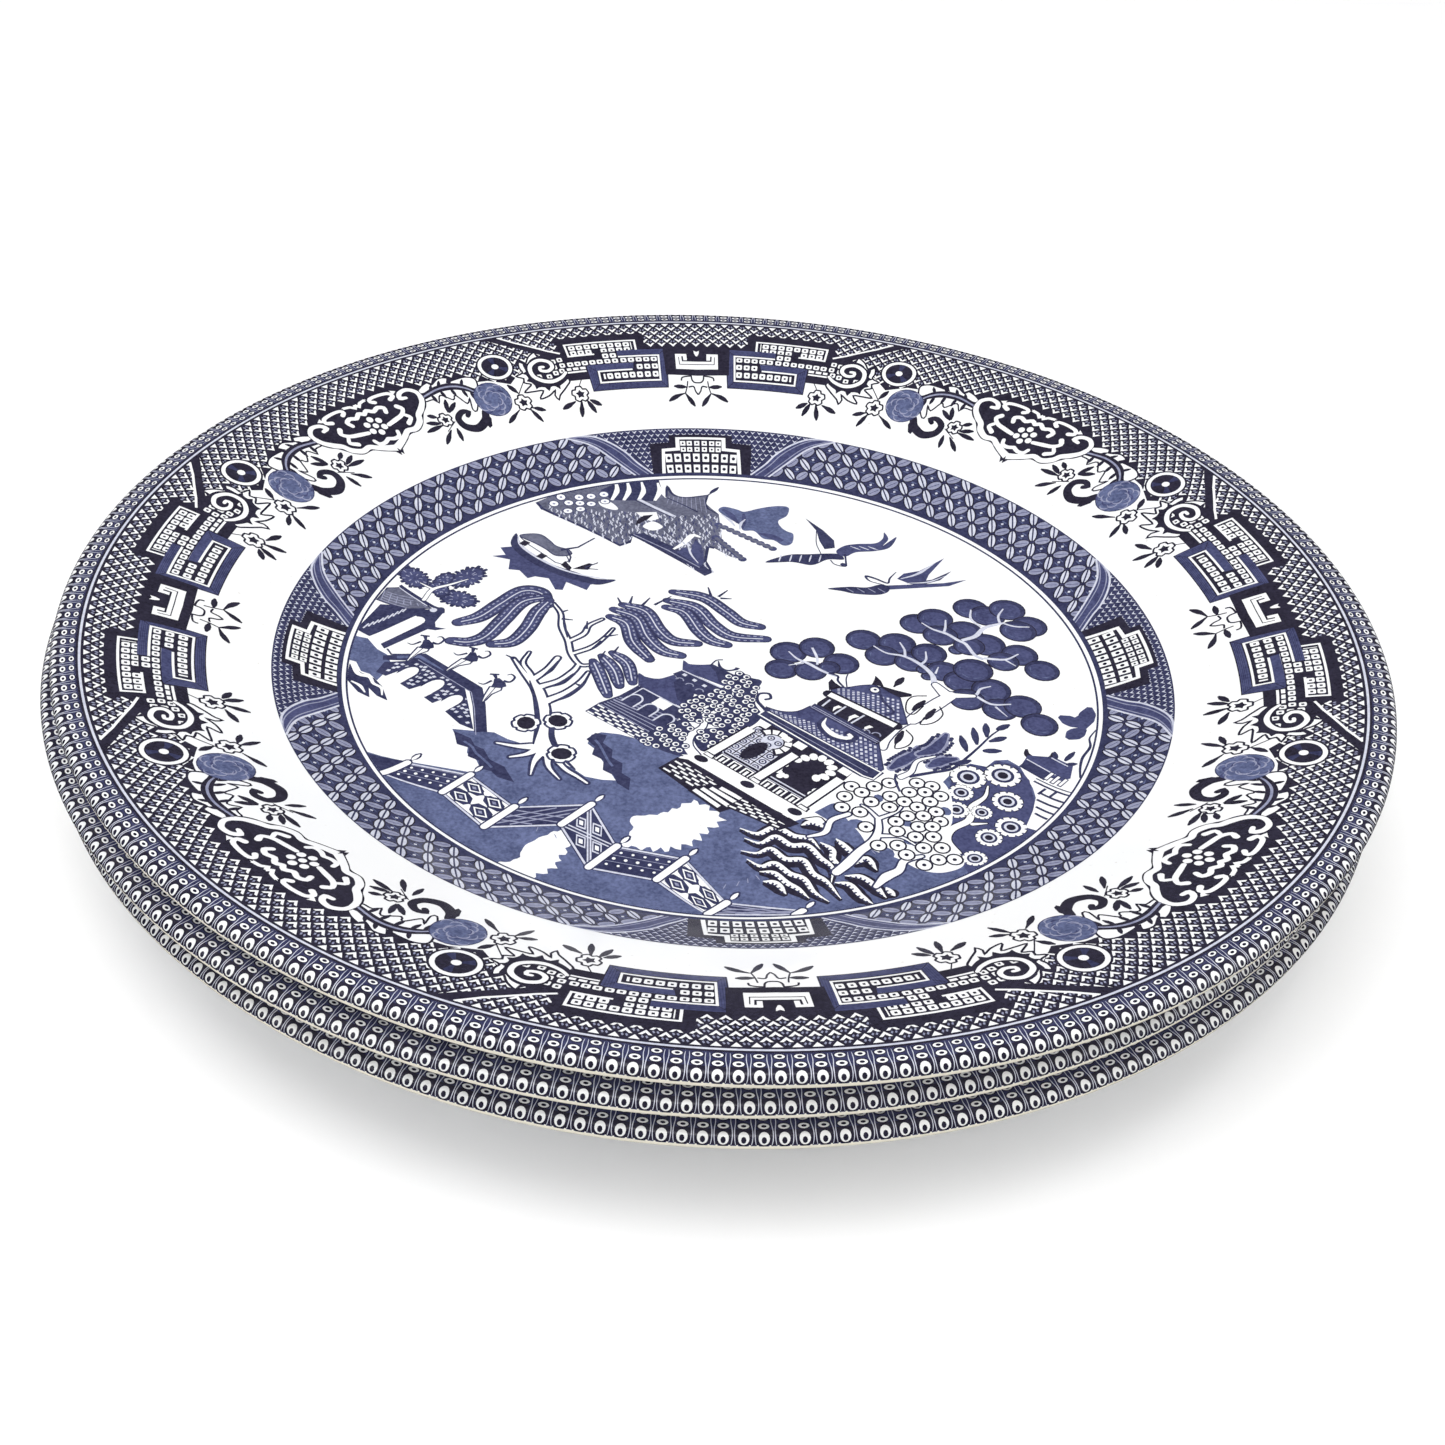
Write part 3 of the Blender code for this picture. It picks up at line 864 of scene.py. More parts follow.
def draw_fence(d):
    """Zigzag fence: panels of dots, diamonds and crossed bars between white posts with leaf tips."""
    d.fill("navy", [(-74, -28.4), (-69.6, -30.2), (-62.4, -31.8), (-66.4, -36), (-69, -35)])
    kinds = ("dots", "diamonds", "bars", "cross", "dots", "diamonds", "bars")
    for kind, (foot, head), (next_foot, next_head) in zip(kinds, POSTS, POSTS[1:]):
        panel = (foot, head, next_foot, next_head)

        def at(u, v):
            """Point of this panel."""
            return panel_point(panel, u, v)

        def diamond(ink, u, v, size):
            """Diamond on this panel, its size a share of the panel's own sides."""
            d.fill(ink, [at(u - size, v), at(u, v - size), at(u + size, v), at(u, v + size)])

        d.fill("navy", [at(0, -0.09), at(1, -0.09), at(1, 1.02), at(0, 1.02)])
        if kind == "dots":
            for row, v in enumerate((0.24, 0.5, 0.76)):
                for column in range(5):
                    u = 0.16 + 0.175 * column
                    d.disc(CLEAR, at(u, v), 0.36 if row == 1 else 0.3, 8)
                d.stroke("tint", [at(0.06, v + 0.13), at(0.96, v + 0.13)], 0.13)
        elif kind == "diamonds":
            for u in (0.5, 0.03, 0.97):
                for v in (0.5, 0.03, 0.9):
                    star = [(0.26, 0), (0.07, 0.07), (0, 0.26), (-0.07, 0.07), (-0.26, 0),
                            (-0.07, -0.07), (0, -0.26), (0.07, -0.07)]
                    near = [(min(max(u + a, 0.03), 0.97), min(max(v + b, 0.02), 0.92)) for a, b in star]
                    d.fill(CLEAR, [at(*place) for place in near])
            for u in (0.27, 0.73):
                for v in (0.25, 0.72):
                    for ink, size in (("navy", 0.235), (CLEAR, 0.165), ("navy", 0.12), ("tint", 0.05)):
                        diamond(ink, u, v, size)
        elif kind == "cross":
            for shift in (-0.05, 0.05):
                for u0, u1 in ((0.04, 0.96), (0.96, 0.04)):
                    d.stroke("pale", [at(u0, 0.06 + shift), at(u1, 0.88 + shift)], 0.3)
            for u, v in ((0.5, 0.2), (0.5, 0.76), (0.2, 0.48), (0.8, 0.48)):
                for ink, size in (("pale", 0.17), ("navy", 0.125), (CLEAR, 0.07)):
                    diamond(ink, u, v, size)
        else:
            for u0, v0, u1, v1 in ((0.03, 0.84, 0.97, 0.3), (0.03, 0.6, 0.97, 0.08),
                                   (0.03, 0.36, 0.6, 0.05), (0.03, 0.1, 0.97, 0.84),
                                   (0.3, 0.08, 0.97, 0.6), (0.03, 0.4, 0.6, 0.86)):
                d.stroke("tint", [at(u0, v0), at(u1, v1)], 0.3)
        d.stroke("pale", [at(0, 0.96), at(1, 0.96)], 0.42)
        d.stroke("pale", [at(0, -0.03), at(1, -0.03)], 0.42)
    for (x, y), (head_x, head_y) in POSTS:
        d.stroke("navy", [(x, y), (head_x, head_y)], 2.05, caps=True)
        d.stroke(CLEAR, [(x, y), (head_x, head_y)], 1.4, caps=True)
        tip = (head_x + 2.5, head_y + 2.8)
        leaf(d, "navy", (head_x + 0.4, head_y + 0.5), tip, 1.5, 0.2)
        leaf(d, CLEAR, (head_x + 0.8, head_y + 0.9), (head_x + 2.2, head_y + 2.5), 0.8)


def draw_rapids(d):
    """Wavy white bands with dark pebbles, falling to the front under the pavilion."""
    bands = (((-0.6, -51.6), (2.6, -53.2), (6, -51.4), (9.2, -53.8), (12, -54.6), (13.6, -57.6)),
             ((0, -54.4), (2.8, -55.8), (5.8, -54), (8.4, -56.4), (11.4, -56.6), (13.4, -60),
              (15.2, -62.6), (14.6, -66.6)),
             ((-0.9, -57.9), (2, -58.6), (4.6, -57.4), (7, -60.2), (10.2, -60.6), (11.6, -64.2),
              (13.8, -66.4), (15.8, -71)),
             ((0, -60.2), (2.4, -62.2), (5, -61.4), (7.4, -64.2), (9.8, -65.6), (11.2, -69),
              (13.6, -71.8)),
             ((2, -63.6), (4.6, -64), (6.6, -66.6), (8.6, -68.4), (10.2, -70.8)),
             ((2.4, -66.2), (4.8, -66.8), (6.2, -69.6)),
             ((15.2, -66.6), (17.8, -67.2), (19.4, -70.2), (21.2, -73)),
             ((17.2, -64.8), (20.2, -65.2), (22.4, -67.8), (23.8, -71.2)),
             ((13.8, -55.6), (15.8, -57.8), (15.6, -60.4), (17.4, -62.8)),
             ((16.8, -54.6), (18.6, -57.4), (20.2, -60.2)), ((10.8, -50.8), (13, -50), (15.4, -51.6)),
             ((19.2, -61.8), (21.8, -60.2), (23.2, -63.4)), ((24.2, -68), (25.4, -70.8)))
    for band in bands:
        d.curve("black", [(x - 0.1, y - 0.6) for x, y in band], (0.7, 3.1, 3.3, 3, 0.7))
    for band in bands:
        d.curve(CLEAR, band, (0.2, 1.15, 1.25, 1.1, 0.15))
        line = smooth(band, gap=0.35)
        for (x, y), following in zip(line[3:-2:3], line[4:-1:3]):
            nx, ny = sideways((x, y), following)
            d.stroke("navy", [(x - 0.75 * nx, y - 0.75 * ny), (x - 0.12 * nx, y - 0.12 * ny)],
                     (0.42, 0.34))


def draw_disc_tree(d):
    """Tree of white discs with dark eyes, its two stems running down into the ground."""
    crown = [(17.6, -43), (20, -38.6), (27, -37.4), (33.6, -36.2), (38.6, -37.2), (40.2, -42),
             (39.2, -49.6), (37.6, -54), (39.4, -61.6), (35.6, -64.2), (31.2, -63.4), (27.4, -60.2),
             (23, -57.6), (21.4, -53.2), (19.4, -48.8)]
    d.fill(CLEAR, crown, True)
    for x, y, size in ((21, -50.4, 1.7), (25.6, -59, 1.8), (30.4, -55.4, 1.3), (26.2, -43, 1.2),
                       (35.8, -57, 1.2), (34, -45.8, 1.2), (30.6, -50.4, 1.1), (38.4, -46.8, 1.3)):
        d.disc("wash", (x, y), (size, 0.8 * size), 9, 17 * x)
    boughs(d, [([(15.8, -63.9), (18.2, -61.4), (20.8, -58.2), (23.6, -55.4), (25, -52.2), (25.4, -48.8)],
                (1.6, 1.9, 1.7, 1.7, 1.2, 0.9)),
               ([(11.8, -54), (15, -52.8), (16.6, -49.4), (20, -47.6)], (0.5, 1.1, 1, 0.9)),
               ([(24.4, -53.8), (28.8, -54.2), (31.4, -56.6)], (0.9, 0.5, 0.3)),
               ([(25.4, -49), (24, -46.4), (22.8, -45)], (0.7, 0.5, 0.3)),
               ([(25.4, -49), (29.4, -46.6), (31.6, -42.6)], (0.7, 0.5, 0.3)),
               ([(22.4, -67.8), (24.6, -65.2), (27.2, -63.4), (28.6, -60.8), (32, -59.6)],
                (0.9, 1.9, 1.5, 1.2, 0.6))])
    rows = ((-38.4, (29, 34.3)), (-39.4, (21.6, 25.9, 37)), (-41.2, (23.3, 32.4, 35.4)),
            (-42.4, (19.9, 28.6, 38.2)), (-44, (24.7, 31, 35.9)), (-45.6, (19, 28, 33.3)),
            (-47, (22.2, 36.6)), (-48.2, (31, 34)), (-49.8, (28.6, 36.9)),
            (-51.3, (22.8, 32.6, 35.2)), (-52.6, (28.4,)), (-54.2, (31.6, 34.9)), (-56.6, (24.4, 28)),
            (-57.3, (36, 32.6)), (-59.2, (29.2,)), (-60.6, (34.8, 37.8)), (-62, (32,)))
    for y, places in rows:
        for x in places:
            d.rings((x, y), ("black", 1.68, 16), (CLEAR, 1.32, 16), ("black", 0.42, 8))


def draw_daisies(d):
    """Bush of scalloped flowers on a dark cloud, with a bare winding branch."""
    cloud = [(42, -35), (45.4, -32.6), (48.6, -33.4), (51, -31.4), (54.6, -33), (56.2, -37.6),
             (55.8, -45.6), (54, -49.4), (57, -54), (40, -68), (38.8, -61), (38.2, -55.4),
             (39.4, -49.4), (39, -44.4), (40.4, -39.4)]
    d.fill("deep", cloud)
    boughs(d, [([(47.8, -39.4), (46.6, -42.6), (43.6, -45.6), (42.4, -49.4), (38.8, -52), (37.6, -55.2),
                 (39.2, -58.8)], (0.3, 0.8, 1.3, 1.4, 1.4, 1, 0.4)),
               ([(42.8, -50.6), (45.6, -50.4)], (0.8, 0.25))], 0.22, "black")
    for x, y, size in ((44.5, -36.6, 3.5), (51.3, -36.1, 3.5), (42.3, -41.3, 2.35), (50.7, -44, 2.95),
                       (40.5, -46.4, 2.4), (45.2, -47.2, 2), (49.9, -51.6, 2.95), (45.2, -54.5, 2.5),
                       (41.5, -60.5, 2.3)):
        ring = petals(11, 1, 10, 0.8, 16, steps=1)
        d.fill("black", placed(ring, (x, y), 0, size * 1.07))
        d.fill(CLEAR, placed(ring, (x, y), 0, size))
        d.rings((x, y), ("navy", size * 0.64, 16), ("pale", size * 0.46, 14), ("black", size * 0.3, 12))


def bricks(d, origin, along, across, rows, columns, inset=0.12, ink="black"):
    """Courses of white bricks on a dark wall, from a corner, along the courses and across them."""
    ox, oy = origin
    (ax, ay), (cx, cy) = along, across
    d.fill(ink, [(ox, oy), (ox + ax, oy + ay), (ox + ax + cx, oy + ay + cy), (ox + cx, oy + cy)])
    for row in range(rows):
        v = (row + 0.5) / rows
        for column in range(columns):
            u0 = (column + 0.5 * (row % 2)) / columns
            u1 = min(1, u0 + 1 / columns) - inset / columns * 2
            u0 = u0 + inset / columns
            if u1 - u0 < 0.3 / columns:
                continue
            d.stroke(CLEAR, [(ox + ax * u0 + cx * v, oy + ay * u0 + cy * v),
                             (ox + ax * u1 + cx * v, oy + ay * u1 + cy * v)],
                     0.58 * math.hypot(cx, cy) / rows)


def draw_terrace(d):
    """White floor of the main pavilion, its brick plinth and the plank steps."""
    d.fill("black", [(-14.9, -33.8), (-11, -30.4), (10.6, -50.4), (6.6, -52.2), (-2.6, -45.6),
                     (-4, -47.2), (-9.4, -40.6)])
    bricks(d, (-14.4, -33.8), (8.2, -8.2), (3.5, 3.2), 6, 4)
    d.fill("black", [(-9.6, -40.6), (-8.4, -39.2), (-2.6, -38.8), (2.8, -43.8), (-3.8, -47)])
    for start, end in (((-8.4, -40.3), (-4, -45.4)), ((-6.9, -39.9), (-2.2, -45.2)),
                       ((-5.2, -39.8), (-0.4, -44.6)), ((-3.4, -39.8), (1.2, -44))):
        d.stroke(CLEAR, [start, end], 0.95)
    bricks(d, (-2.6, -45.2), (9.4, -6.7), (3.6, 2.6), 6, 5)
    d.fill("black", [(-11.2, -30.6), (-9, -31.2), (10.4, -50.4), (8.6, -51.4)])
    d.fill(CLEAR, [(-10.2, -29.6), (-3.4, -30), (15.8, -49.2), (14.8, -50.4), (11.2, -48.9),
                   (9.8, -49.6)])
    d.curve("black", [(11, -48.9), (14.4, -48.4), (15.6, -50.2)], 0.3)


def draw_pavilion_walls(d):
    """Two open bays of the main pavilion: tiled walls, dark arches and a low key fence."""
    d.fill("black", [(-4.6, -29.4), (5, -20.6), (8.6, -19.6), (23, -34.4), (20.4, -37.6),
                     (11, -46)])
    for along in range(5):
        for across in range(4):
            x, y = -1.2 + 1.62 * (along + across), -28.6 + 1.62 * (along - across)
            d.fill("pale", placed(block(1, 1), (x, y), 45, 1.02))
            d.rings((x, y), ("navy", 0.82, 12), ("pale", 0.5, 10), ("black", 0.24, 8))
    d.stroke("black", arc((7.7, -25.6), 3.3, 122, -94, 16), 2.4)
    for index in range(7):
        turn = 112 - 29 * index
        inner = arc((7.7, -25.6), 2.5, turn, turn - 22, 2)
        outer = arc((7.7, -25.6), 3.9, turn - 22, turn, 2)
        d.fill(CLEAR, inner + outer)
    d.disc("pale", (7.7, -25.6), 2.2, 18)
    for x, y in ((6.7, -26.6), (8.8, -26.2), (7.6, -24.4)):
        d.rings((x, y), ("navy", 0.8, 12), ("pale", 0.5, 10), ("black", 0.24, 8))
    d.disc("black", (3.9, -28.4), (3.5, 1.7), 20, 42)
    d.disc("black", (13.2, -36.6), (4.7, 2.2), 22, 47)
    for centre, start, count in (((15.2, -33.6), 118, 8), ((10, -34.6), 250, 6)):
        size = 1 if count == 8 else 0.55
        for index in range(count):
            turn = start - 30 * index
            place = arc(centre, 3.3 * size, turn, 0, 1)[0]
            d.disc(CLEAR, place, (0.95 * size + 0.15, 0.7 * size + 0.15), 10, turn)
    for place, radius in (((18.6, -37.6), 0.8), ((17.2, -38.8), 0.75), ((14.6, -40.8), 0.8),
                          ((13.6, -41.6), 0.7), ((12.2, -31.4), 0.8), ((8.2, -36.2), 0.7),
                          ((16.2, -36.4), 0.7)):
        d.disc(CLEAR, place, radius, 10)
    for x, y in ((-3.1, -30.6), (4.9, -38.4)):
        d.fill("black", [(x - 1.1, y - 0.4), (x + 1.7, y + 2.2), (x + 8.2, y - 4.2), (x + 5.4, y - 6.8)])
        d.stroke("pale", [(x + 1.5, y + 2), (x + 7.6, y - 4)], 0.34)
        d.stroke("pale", [(x + 0.9, y + 1.4), (x + 7, y - 4.6)], 0.2)
        for index in range(3):
            at = (x + 0.9 + 2.15 * index, y - 0.2 - 2.15 * index)
            for ink, size in ((CLEAR, 1.12), ("black", 0.74), (CLEAR, 0.3)):
                d.fill(ink, placed(rectangle(-1.25, -size, size * 0.8, size), at, 45))
    for x, y, width in ((6.6, -20, 1.4), (10.7, -24.6, 1.2), (13, -26.8, 1.5), (20.9, -34.9, 1.5)):
        d.fill(CLEAR, placed(block(1, 0.8), (x, y), -45, width * 0.8))
    for foot, head in (((-5, -29.4), (4, -21.4)), ((2.9, -37.6), (11.8, -29.6)),
                       ((11.1, -45.5), (19.7, -37.2))):
        d.stroke("black", [foot, head], 2.7)
        d.stroke(CLEAR, [foot, head], 1.85)
    for x, y in ((-6.5, -30.9), (1.8, -38.8), (10, -46.9)):
        d.disc("black", (x, y), (1.5, 0.95), 14, -35)
        d.fill("black", [(x + 0.4, y + 1.5), (x + 2.2, y - 0.2), (x + 3, y + 0.8), (x + 1.4, y + 2.4)])
        d.fill(CLEAR, [(x + 0.7, y + 1.6), (x + 2, y + 0.2), (x + 2.5, y + 0.8), (x + 1.3, y + 2.1)])


def tiled_roof(d, outline, ridge, eaves, courses, ink="deep"):
    """Roof with courses of light tile marks, fanned between a ridge line and an eaves line."""
    d.fill(ink, outline)
    d.stroke("navy", outline, 0.32, closed=True)
    (ra, rb), (ea, eb) = [[Vector(p) for p in line] for line in (ridge, eaves)]
    lines = max(2, int((eb - ea).length / 1.12))
    for line in range(lines):
        u = (line + 0.5) / lines
        top, low = ra.lerp(rb, u), ea.lerp(eb, u)
        for course in range(courses):
            v = (course + 0.3) / courses
            start, end = top.lerp(low, v), top.lerp(low, v + 0.58 / courses)
            d.stroke("pale" if (line + course) % 3 else "tint", [tuple(start), tuple(end)],
                     (0.5, 0.5 + 0.28 * v, 0.5))


def draw_pavilion_roofs(d):
    """Lower roof with its long barge board, the upper storey, and the upper roof with horns."""
    lower = [(7.2, -15.4)] + smooth([(7.6, -14.2), (10.4, -15.6), (13.6, -15.6), (16.4, -13.8)], gap=1.5) \
        + [(28.6, -25.6), (28.4, -34.2), (27, -35.4)]
    tiled_roof(d, lower, ((8, -14.8), (28.4, -25.2)), ((8.4, -17.2), (27.4, -35)), 7)
    d.curve("navy", [(19, -17.4), (17.8, -20.2), (19.6, -23.6), (22.6, -25.2), (24.2, -24),
                     (23, -22.6), (22.2, -23.4)], (0.6, 1.6, 2.2, 1.8, 1.3, 0.9))
    d.curve(CLEAR, [(19.2, -17.8), (18.4, -20.2), (20, -23.2), (22.4, -24.4), (23.4, -23.8),
                    (22.9, -23)], (0.2, 0.9, 1.3, 1, 0.8))
    board = ((5.8, -16.6), (7.2, -15.2), (27.8, -35.2), (26, -37.2), (24.2, -36.2))
    d.fill("navy", [(5.2, -17.2), (7.4, -14.6), (28.4, -35.4), (26, -37.7), (23.6, -36.4)])
    d.stroke(CLEAR, board, 0.34, closed=True)
    d.fill("navy", [(6.5, -16.7), (7.2, -16), (27, -35.3), (26, -36.4), (24.6, -35.6)])
    d.stroke("tint", [(8, -17.7), (25.2, -35.2)], 0.16)
    d.curve("navy", [(7.6, -15), (6, -12.4), (6.4, -9.8), (8.4, -9.6), (8.7, -11.2), (7.6, -11.6)],
            (1.5, 0.8, 0.6, 0.6, 0.6, 0.6), caps=True)
    d.curve(CLEAR, [(7.4, -14.2), (6.6, -12.2), (6.9, -10.3), (8, -10.2)], (0.3, 0.35, 0.2))
    d.fill("black", [(18, -12.6), (20.8, -10), (33, -21), (30.8, -23.6), (28.2, -26.4),
                     (17.2, -15.2)])
    for at, turn, shape in (((21.4, -14.6), 45, 1), ((24.2, -17.8), 45, 1.2), ((26.8, -21.2), 45, 1)):
        d.fill(CLEAR, placed([(-1.5, -0.25), (0.2, -0.25), (1.6, -0.9), (1.6, 0.3), (0.1, 0.7)], at, turn,
                             shape * 0.8))
    for start, end in (((20.6, -16.8), (23.9, -13.6)), ((23.6, -19.8), (27, -16.8)),
                       ((18.8, -13.8), (20.7, -11.6))):
        d.stroke("pale", [start, end], 0.42)
    for x, y in ((26.4, -22.4), (28.4, -23.4)):
        d.stroke("tint", arc((x, y), 0.9, -30, 150, 6), 0.3)
    d.fill("navy", [(16, -14.4), (17.4, -12.9), (29, -24.6), (27.8, -26.2)])
    for shift in (0.35, 0.95):
        d.stroke("tint", [(16.1 + shift, -14 + 0.2 * shift), (28 + shift, -25.9 + 0.2 * shift)], 0.24)
    upper = smooth([(21.2, -9), (21.9, -7), (24.4, -7.4), (27.4, -6.7), (30.2, -6.4)], gap=1.2) \
        + [(31.6, -7.4), (35, -11), (35.2, -19.8), (33.6, -20)]
    tiled_roof(d, upper, ((22.4, -7.2), (35, -11.4)), ((22.2, -9.6), (33.8, -19.8)), 7)
    d.curve("navy", [(31, -8), (31.4, -12), (33, -15.8), (31.2, -16.6)], 0.6)
    d.stroke("black", [(20.6, -9.6), (32.9, -20.4)], 2.5, caps=True)
    d.stroke(CLEAR, [(20.7, -9.7), (32.7, -20.3)], 1.5)
    for points in ([(20.8, -8.4), (21, -5.6), (21.8, -4.4), (22.4, -5.8), (23.6, -7.4)],
                   [(29.8, -6.4), (30.6, -4.6), (31, -3.2), (31.9, -5), (32.2, -7)],
                   [(31, -6.4), (34.4, -8.2), (37.6, -9.6), (37.4, -10.4), (35, -10.8), (33, -9)]):
        d.fill("black", points)
    leaf(d, "black", (34.2, -7.2), (36.8, -3.8), 1.5, 0.2)
    d.rings((30.2, -8.2), ("navy", 1.3, 12), (CLEAR, 0.9, 12))
    d.disc("navy", (30.3, -8.1), 0.35, 8)
    d.curve("navy", [(24.6, -7.2), (24.8, -4.4), (25.4, -2.6)], 0.3)
    d.curve("navy", [(23.9, -7.2), (23, -5), (23.2, -3.4), (21.4, -2.4)], 0.5)


def draw_back_building(d):
    """Smaller building at the left: brick plinth, striped walls with arches, and two dark roofs."""
    bricks(d, (-28.6, -15.7), (11.6, -10.6), (2.6, 2.6), 5, 6, ink="navy")
    d.fill("navy", [(-26, -13), (-21.6, -10.4), (-17, -6.2), (-8.6, -15.6), (-14.2, -24.6)])
    for row in range(7):
        d.stroke("tint", [(-25.4 + 0.62 * row, -13.4 + 0.4 * row), (-14.4 + 0.72 * row, -24 + 0.9 * row)],
                 0.24 if row != 4 else 0.4)
    for x, y in ((-18.6, -11.6), (-15.6, -14.8), (-12.6, -18.2)):
        d.fill("pale", placed(arc((0, 0), 1.75, -90, 90, 10) + [(-2.2, 1.75), (-2.2, -1.75)], (x, y), 45))
        d.fill("navy", placed(arc((0, 0), 1.35, -90, 90, 10) + [(-2.6, 1.35), (-2.6, -1.35)], (x, y), 45))
    d.fill(CLEAR, [(-15.4, -12.9), (-13.4, -10.9), (-11.1, -13.5), (-13.1, -15.4)])
    first = smooth([(-17.8, -7.2), (-17.6, -2.6), (-16.4, -3.8), (-13.6, -4.6), (-10.4, -3.2)], gap=1)
    d.fill("deep", first + [(-7.6, -8.6), (-8.6, -15)])
    d.fill("navy", [(-10.6, -5.8), (-8.6, -3.6), (-6.6, -9.8), (-8, -14.6), (-10.2, -11.6)])
    d.stroke("pale", [(-17.6, -7.2), (-9, -15.2)], 0.34)
    d.stroke("navy", [(-17, -7.4), (-20.2, -10.4)], 0.9)
    d.stroke("pale", [(-16.9, -7.9), (-20, -10.9)], 0.3)
    d.fill("navy", [(-10.6, -2.8), (-8.4, -1.4), (-0.4, -8), (-3.4, -11.8), (-6.6, -9.8)])
    for index in range(4):
        x, y = -8.2 + 1.9 * index, -3.2 - 1.9 * index
        d.fill("pale", placed(block(0.45, 0.4), (x, y), -45))
        d.stroke("tint", arc((x - 1.2, y - 1.9), 0.85, -20, 150, 6), 0.26)
    second = smooth([(-8.6, -1.6), (-8.2, 2), (-7.2, 0.7), (-4.6, 0.4), (-2.4, 0.6)], gap=1)
    d.fill("deep", second + [(-2.4, 0.6), (2.2, -3.8), (0.8, -8)])
    d.fill("navy", [(-3, 0.2), (-2.2, 0.6), (2.4, -3.6), (1, -7.8), (-1.4, -5.6), (-1.8, -2.2)])
    d.stroke("pale", [(-8.6, -1.6), (0.6, -9)], 0.34)
    d.curve("navy", [(-2.6, 0.4), (-1.4, 2), (0, 2.2)], 0.35)
    d.curve("navy", [(-1, 1.8), (-0.8, -0.4), (0.6, -1.6), (2.4, -1.2), (2.8, -0.6)],
            (0.2, 0.7, 0.5, 0.5, 1))


def draw_berry_tree(d):
    """Dark mass of small white rings with eyes between the two buildings, and its pale stem."""
    parts = ([(-1, -4.4), (2, -3), (3.4, -1.8), (5, -4), (7.4, -5.2), (6.2, -8.4), (5.4, -13),
              (6.4, -17), (4.2, -20.4), (1, -21.8), (-3.6, -20.2), (-6, -19.4), (-9.8, -18.6),
              (-9.6, -14.2), (-7.4, -11.2), (-2.6, -8.4), (0.4, -6.8)],
             [(-18.6, -25), (-16.2, -22.4), (-13, -20.4), (-9.4, -18.4), (-7.6, -20.6), (-8.8, -23.4),
              (-9.4, -29.8), (-12.6, -29.2), (-15.8, -27)],
             [(-7.6, -23.6), (-5.2, -21.4), (0.2, -21.2), (1, -22.6), (-3.2, -27), (-5.6, -28.8),
              (-7, -27.4)])
    for part in parts:
        d.fill("navy", smooth(part, True, 1))
    boughs(d, [([(-7.6, -30.2), (-8.8, -26.8), (-8, -23.4), (-5.6, -20.8), (-4.6, -17.2), (-2.4, -15.4),
                 (-1, -12.6)], (2.2, 1.9, 1.4, 1.2, 1, 0.8, 0.5)),
               ([(-5, -17.6), (-5, -14.8), (-3.4, -13.6)], (0.9, 0.9, 0.3)),
               ([(1.2, -9.2), (1, -12.4), (2.4, -14.6)], (0.2, 0.55, 0.2))], 0.3)
    for part in parts:
        for x, y in scattered(part, 1.86):
            if abs(x + 8) < 1.3 and y < -22:
                continue
            d.rings((x, y), ("navy", 0.95, 10), (CLEAR, 0.68, 10))
            d.disc("navy", (x + 0.08, y - 0.05), 0.4, 8)


def frond(d, points, width):
    """Hanging willow frond: dark band with a light midrib between two rows of small light marks."""
    taper = (0.6, 1, 1, 1, 0.95, 0.7)
    d.curve("navy", points, tuple(width * t for t in taper), caps=True)
    d.curve("deep", points, tuple(0.74 * width * t for t in taper), caps=True)
    line = smooth(points, gap=0.7)
    side = 1
    for start, end in zip(line[1:-2], line[2:-1]):
        nx, ny = [n * 0.25 * width for n in sideways(start, end)]
        d.stroke("tint", [(x + side * nx, y + side * ny) for x, y in (start, end)], 0.34)
        side = -side
    d.stroke("pale", line[1:-1], 0.3)


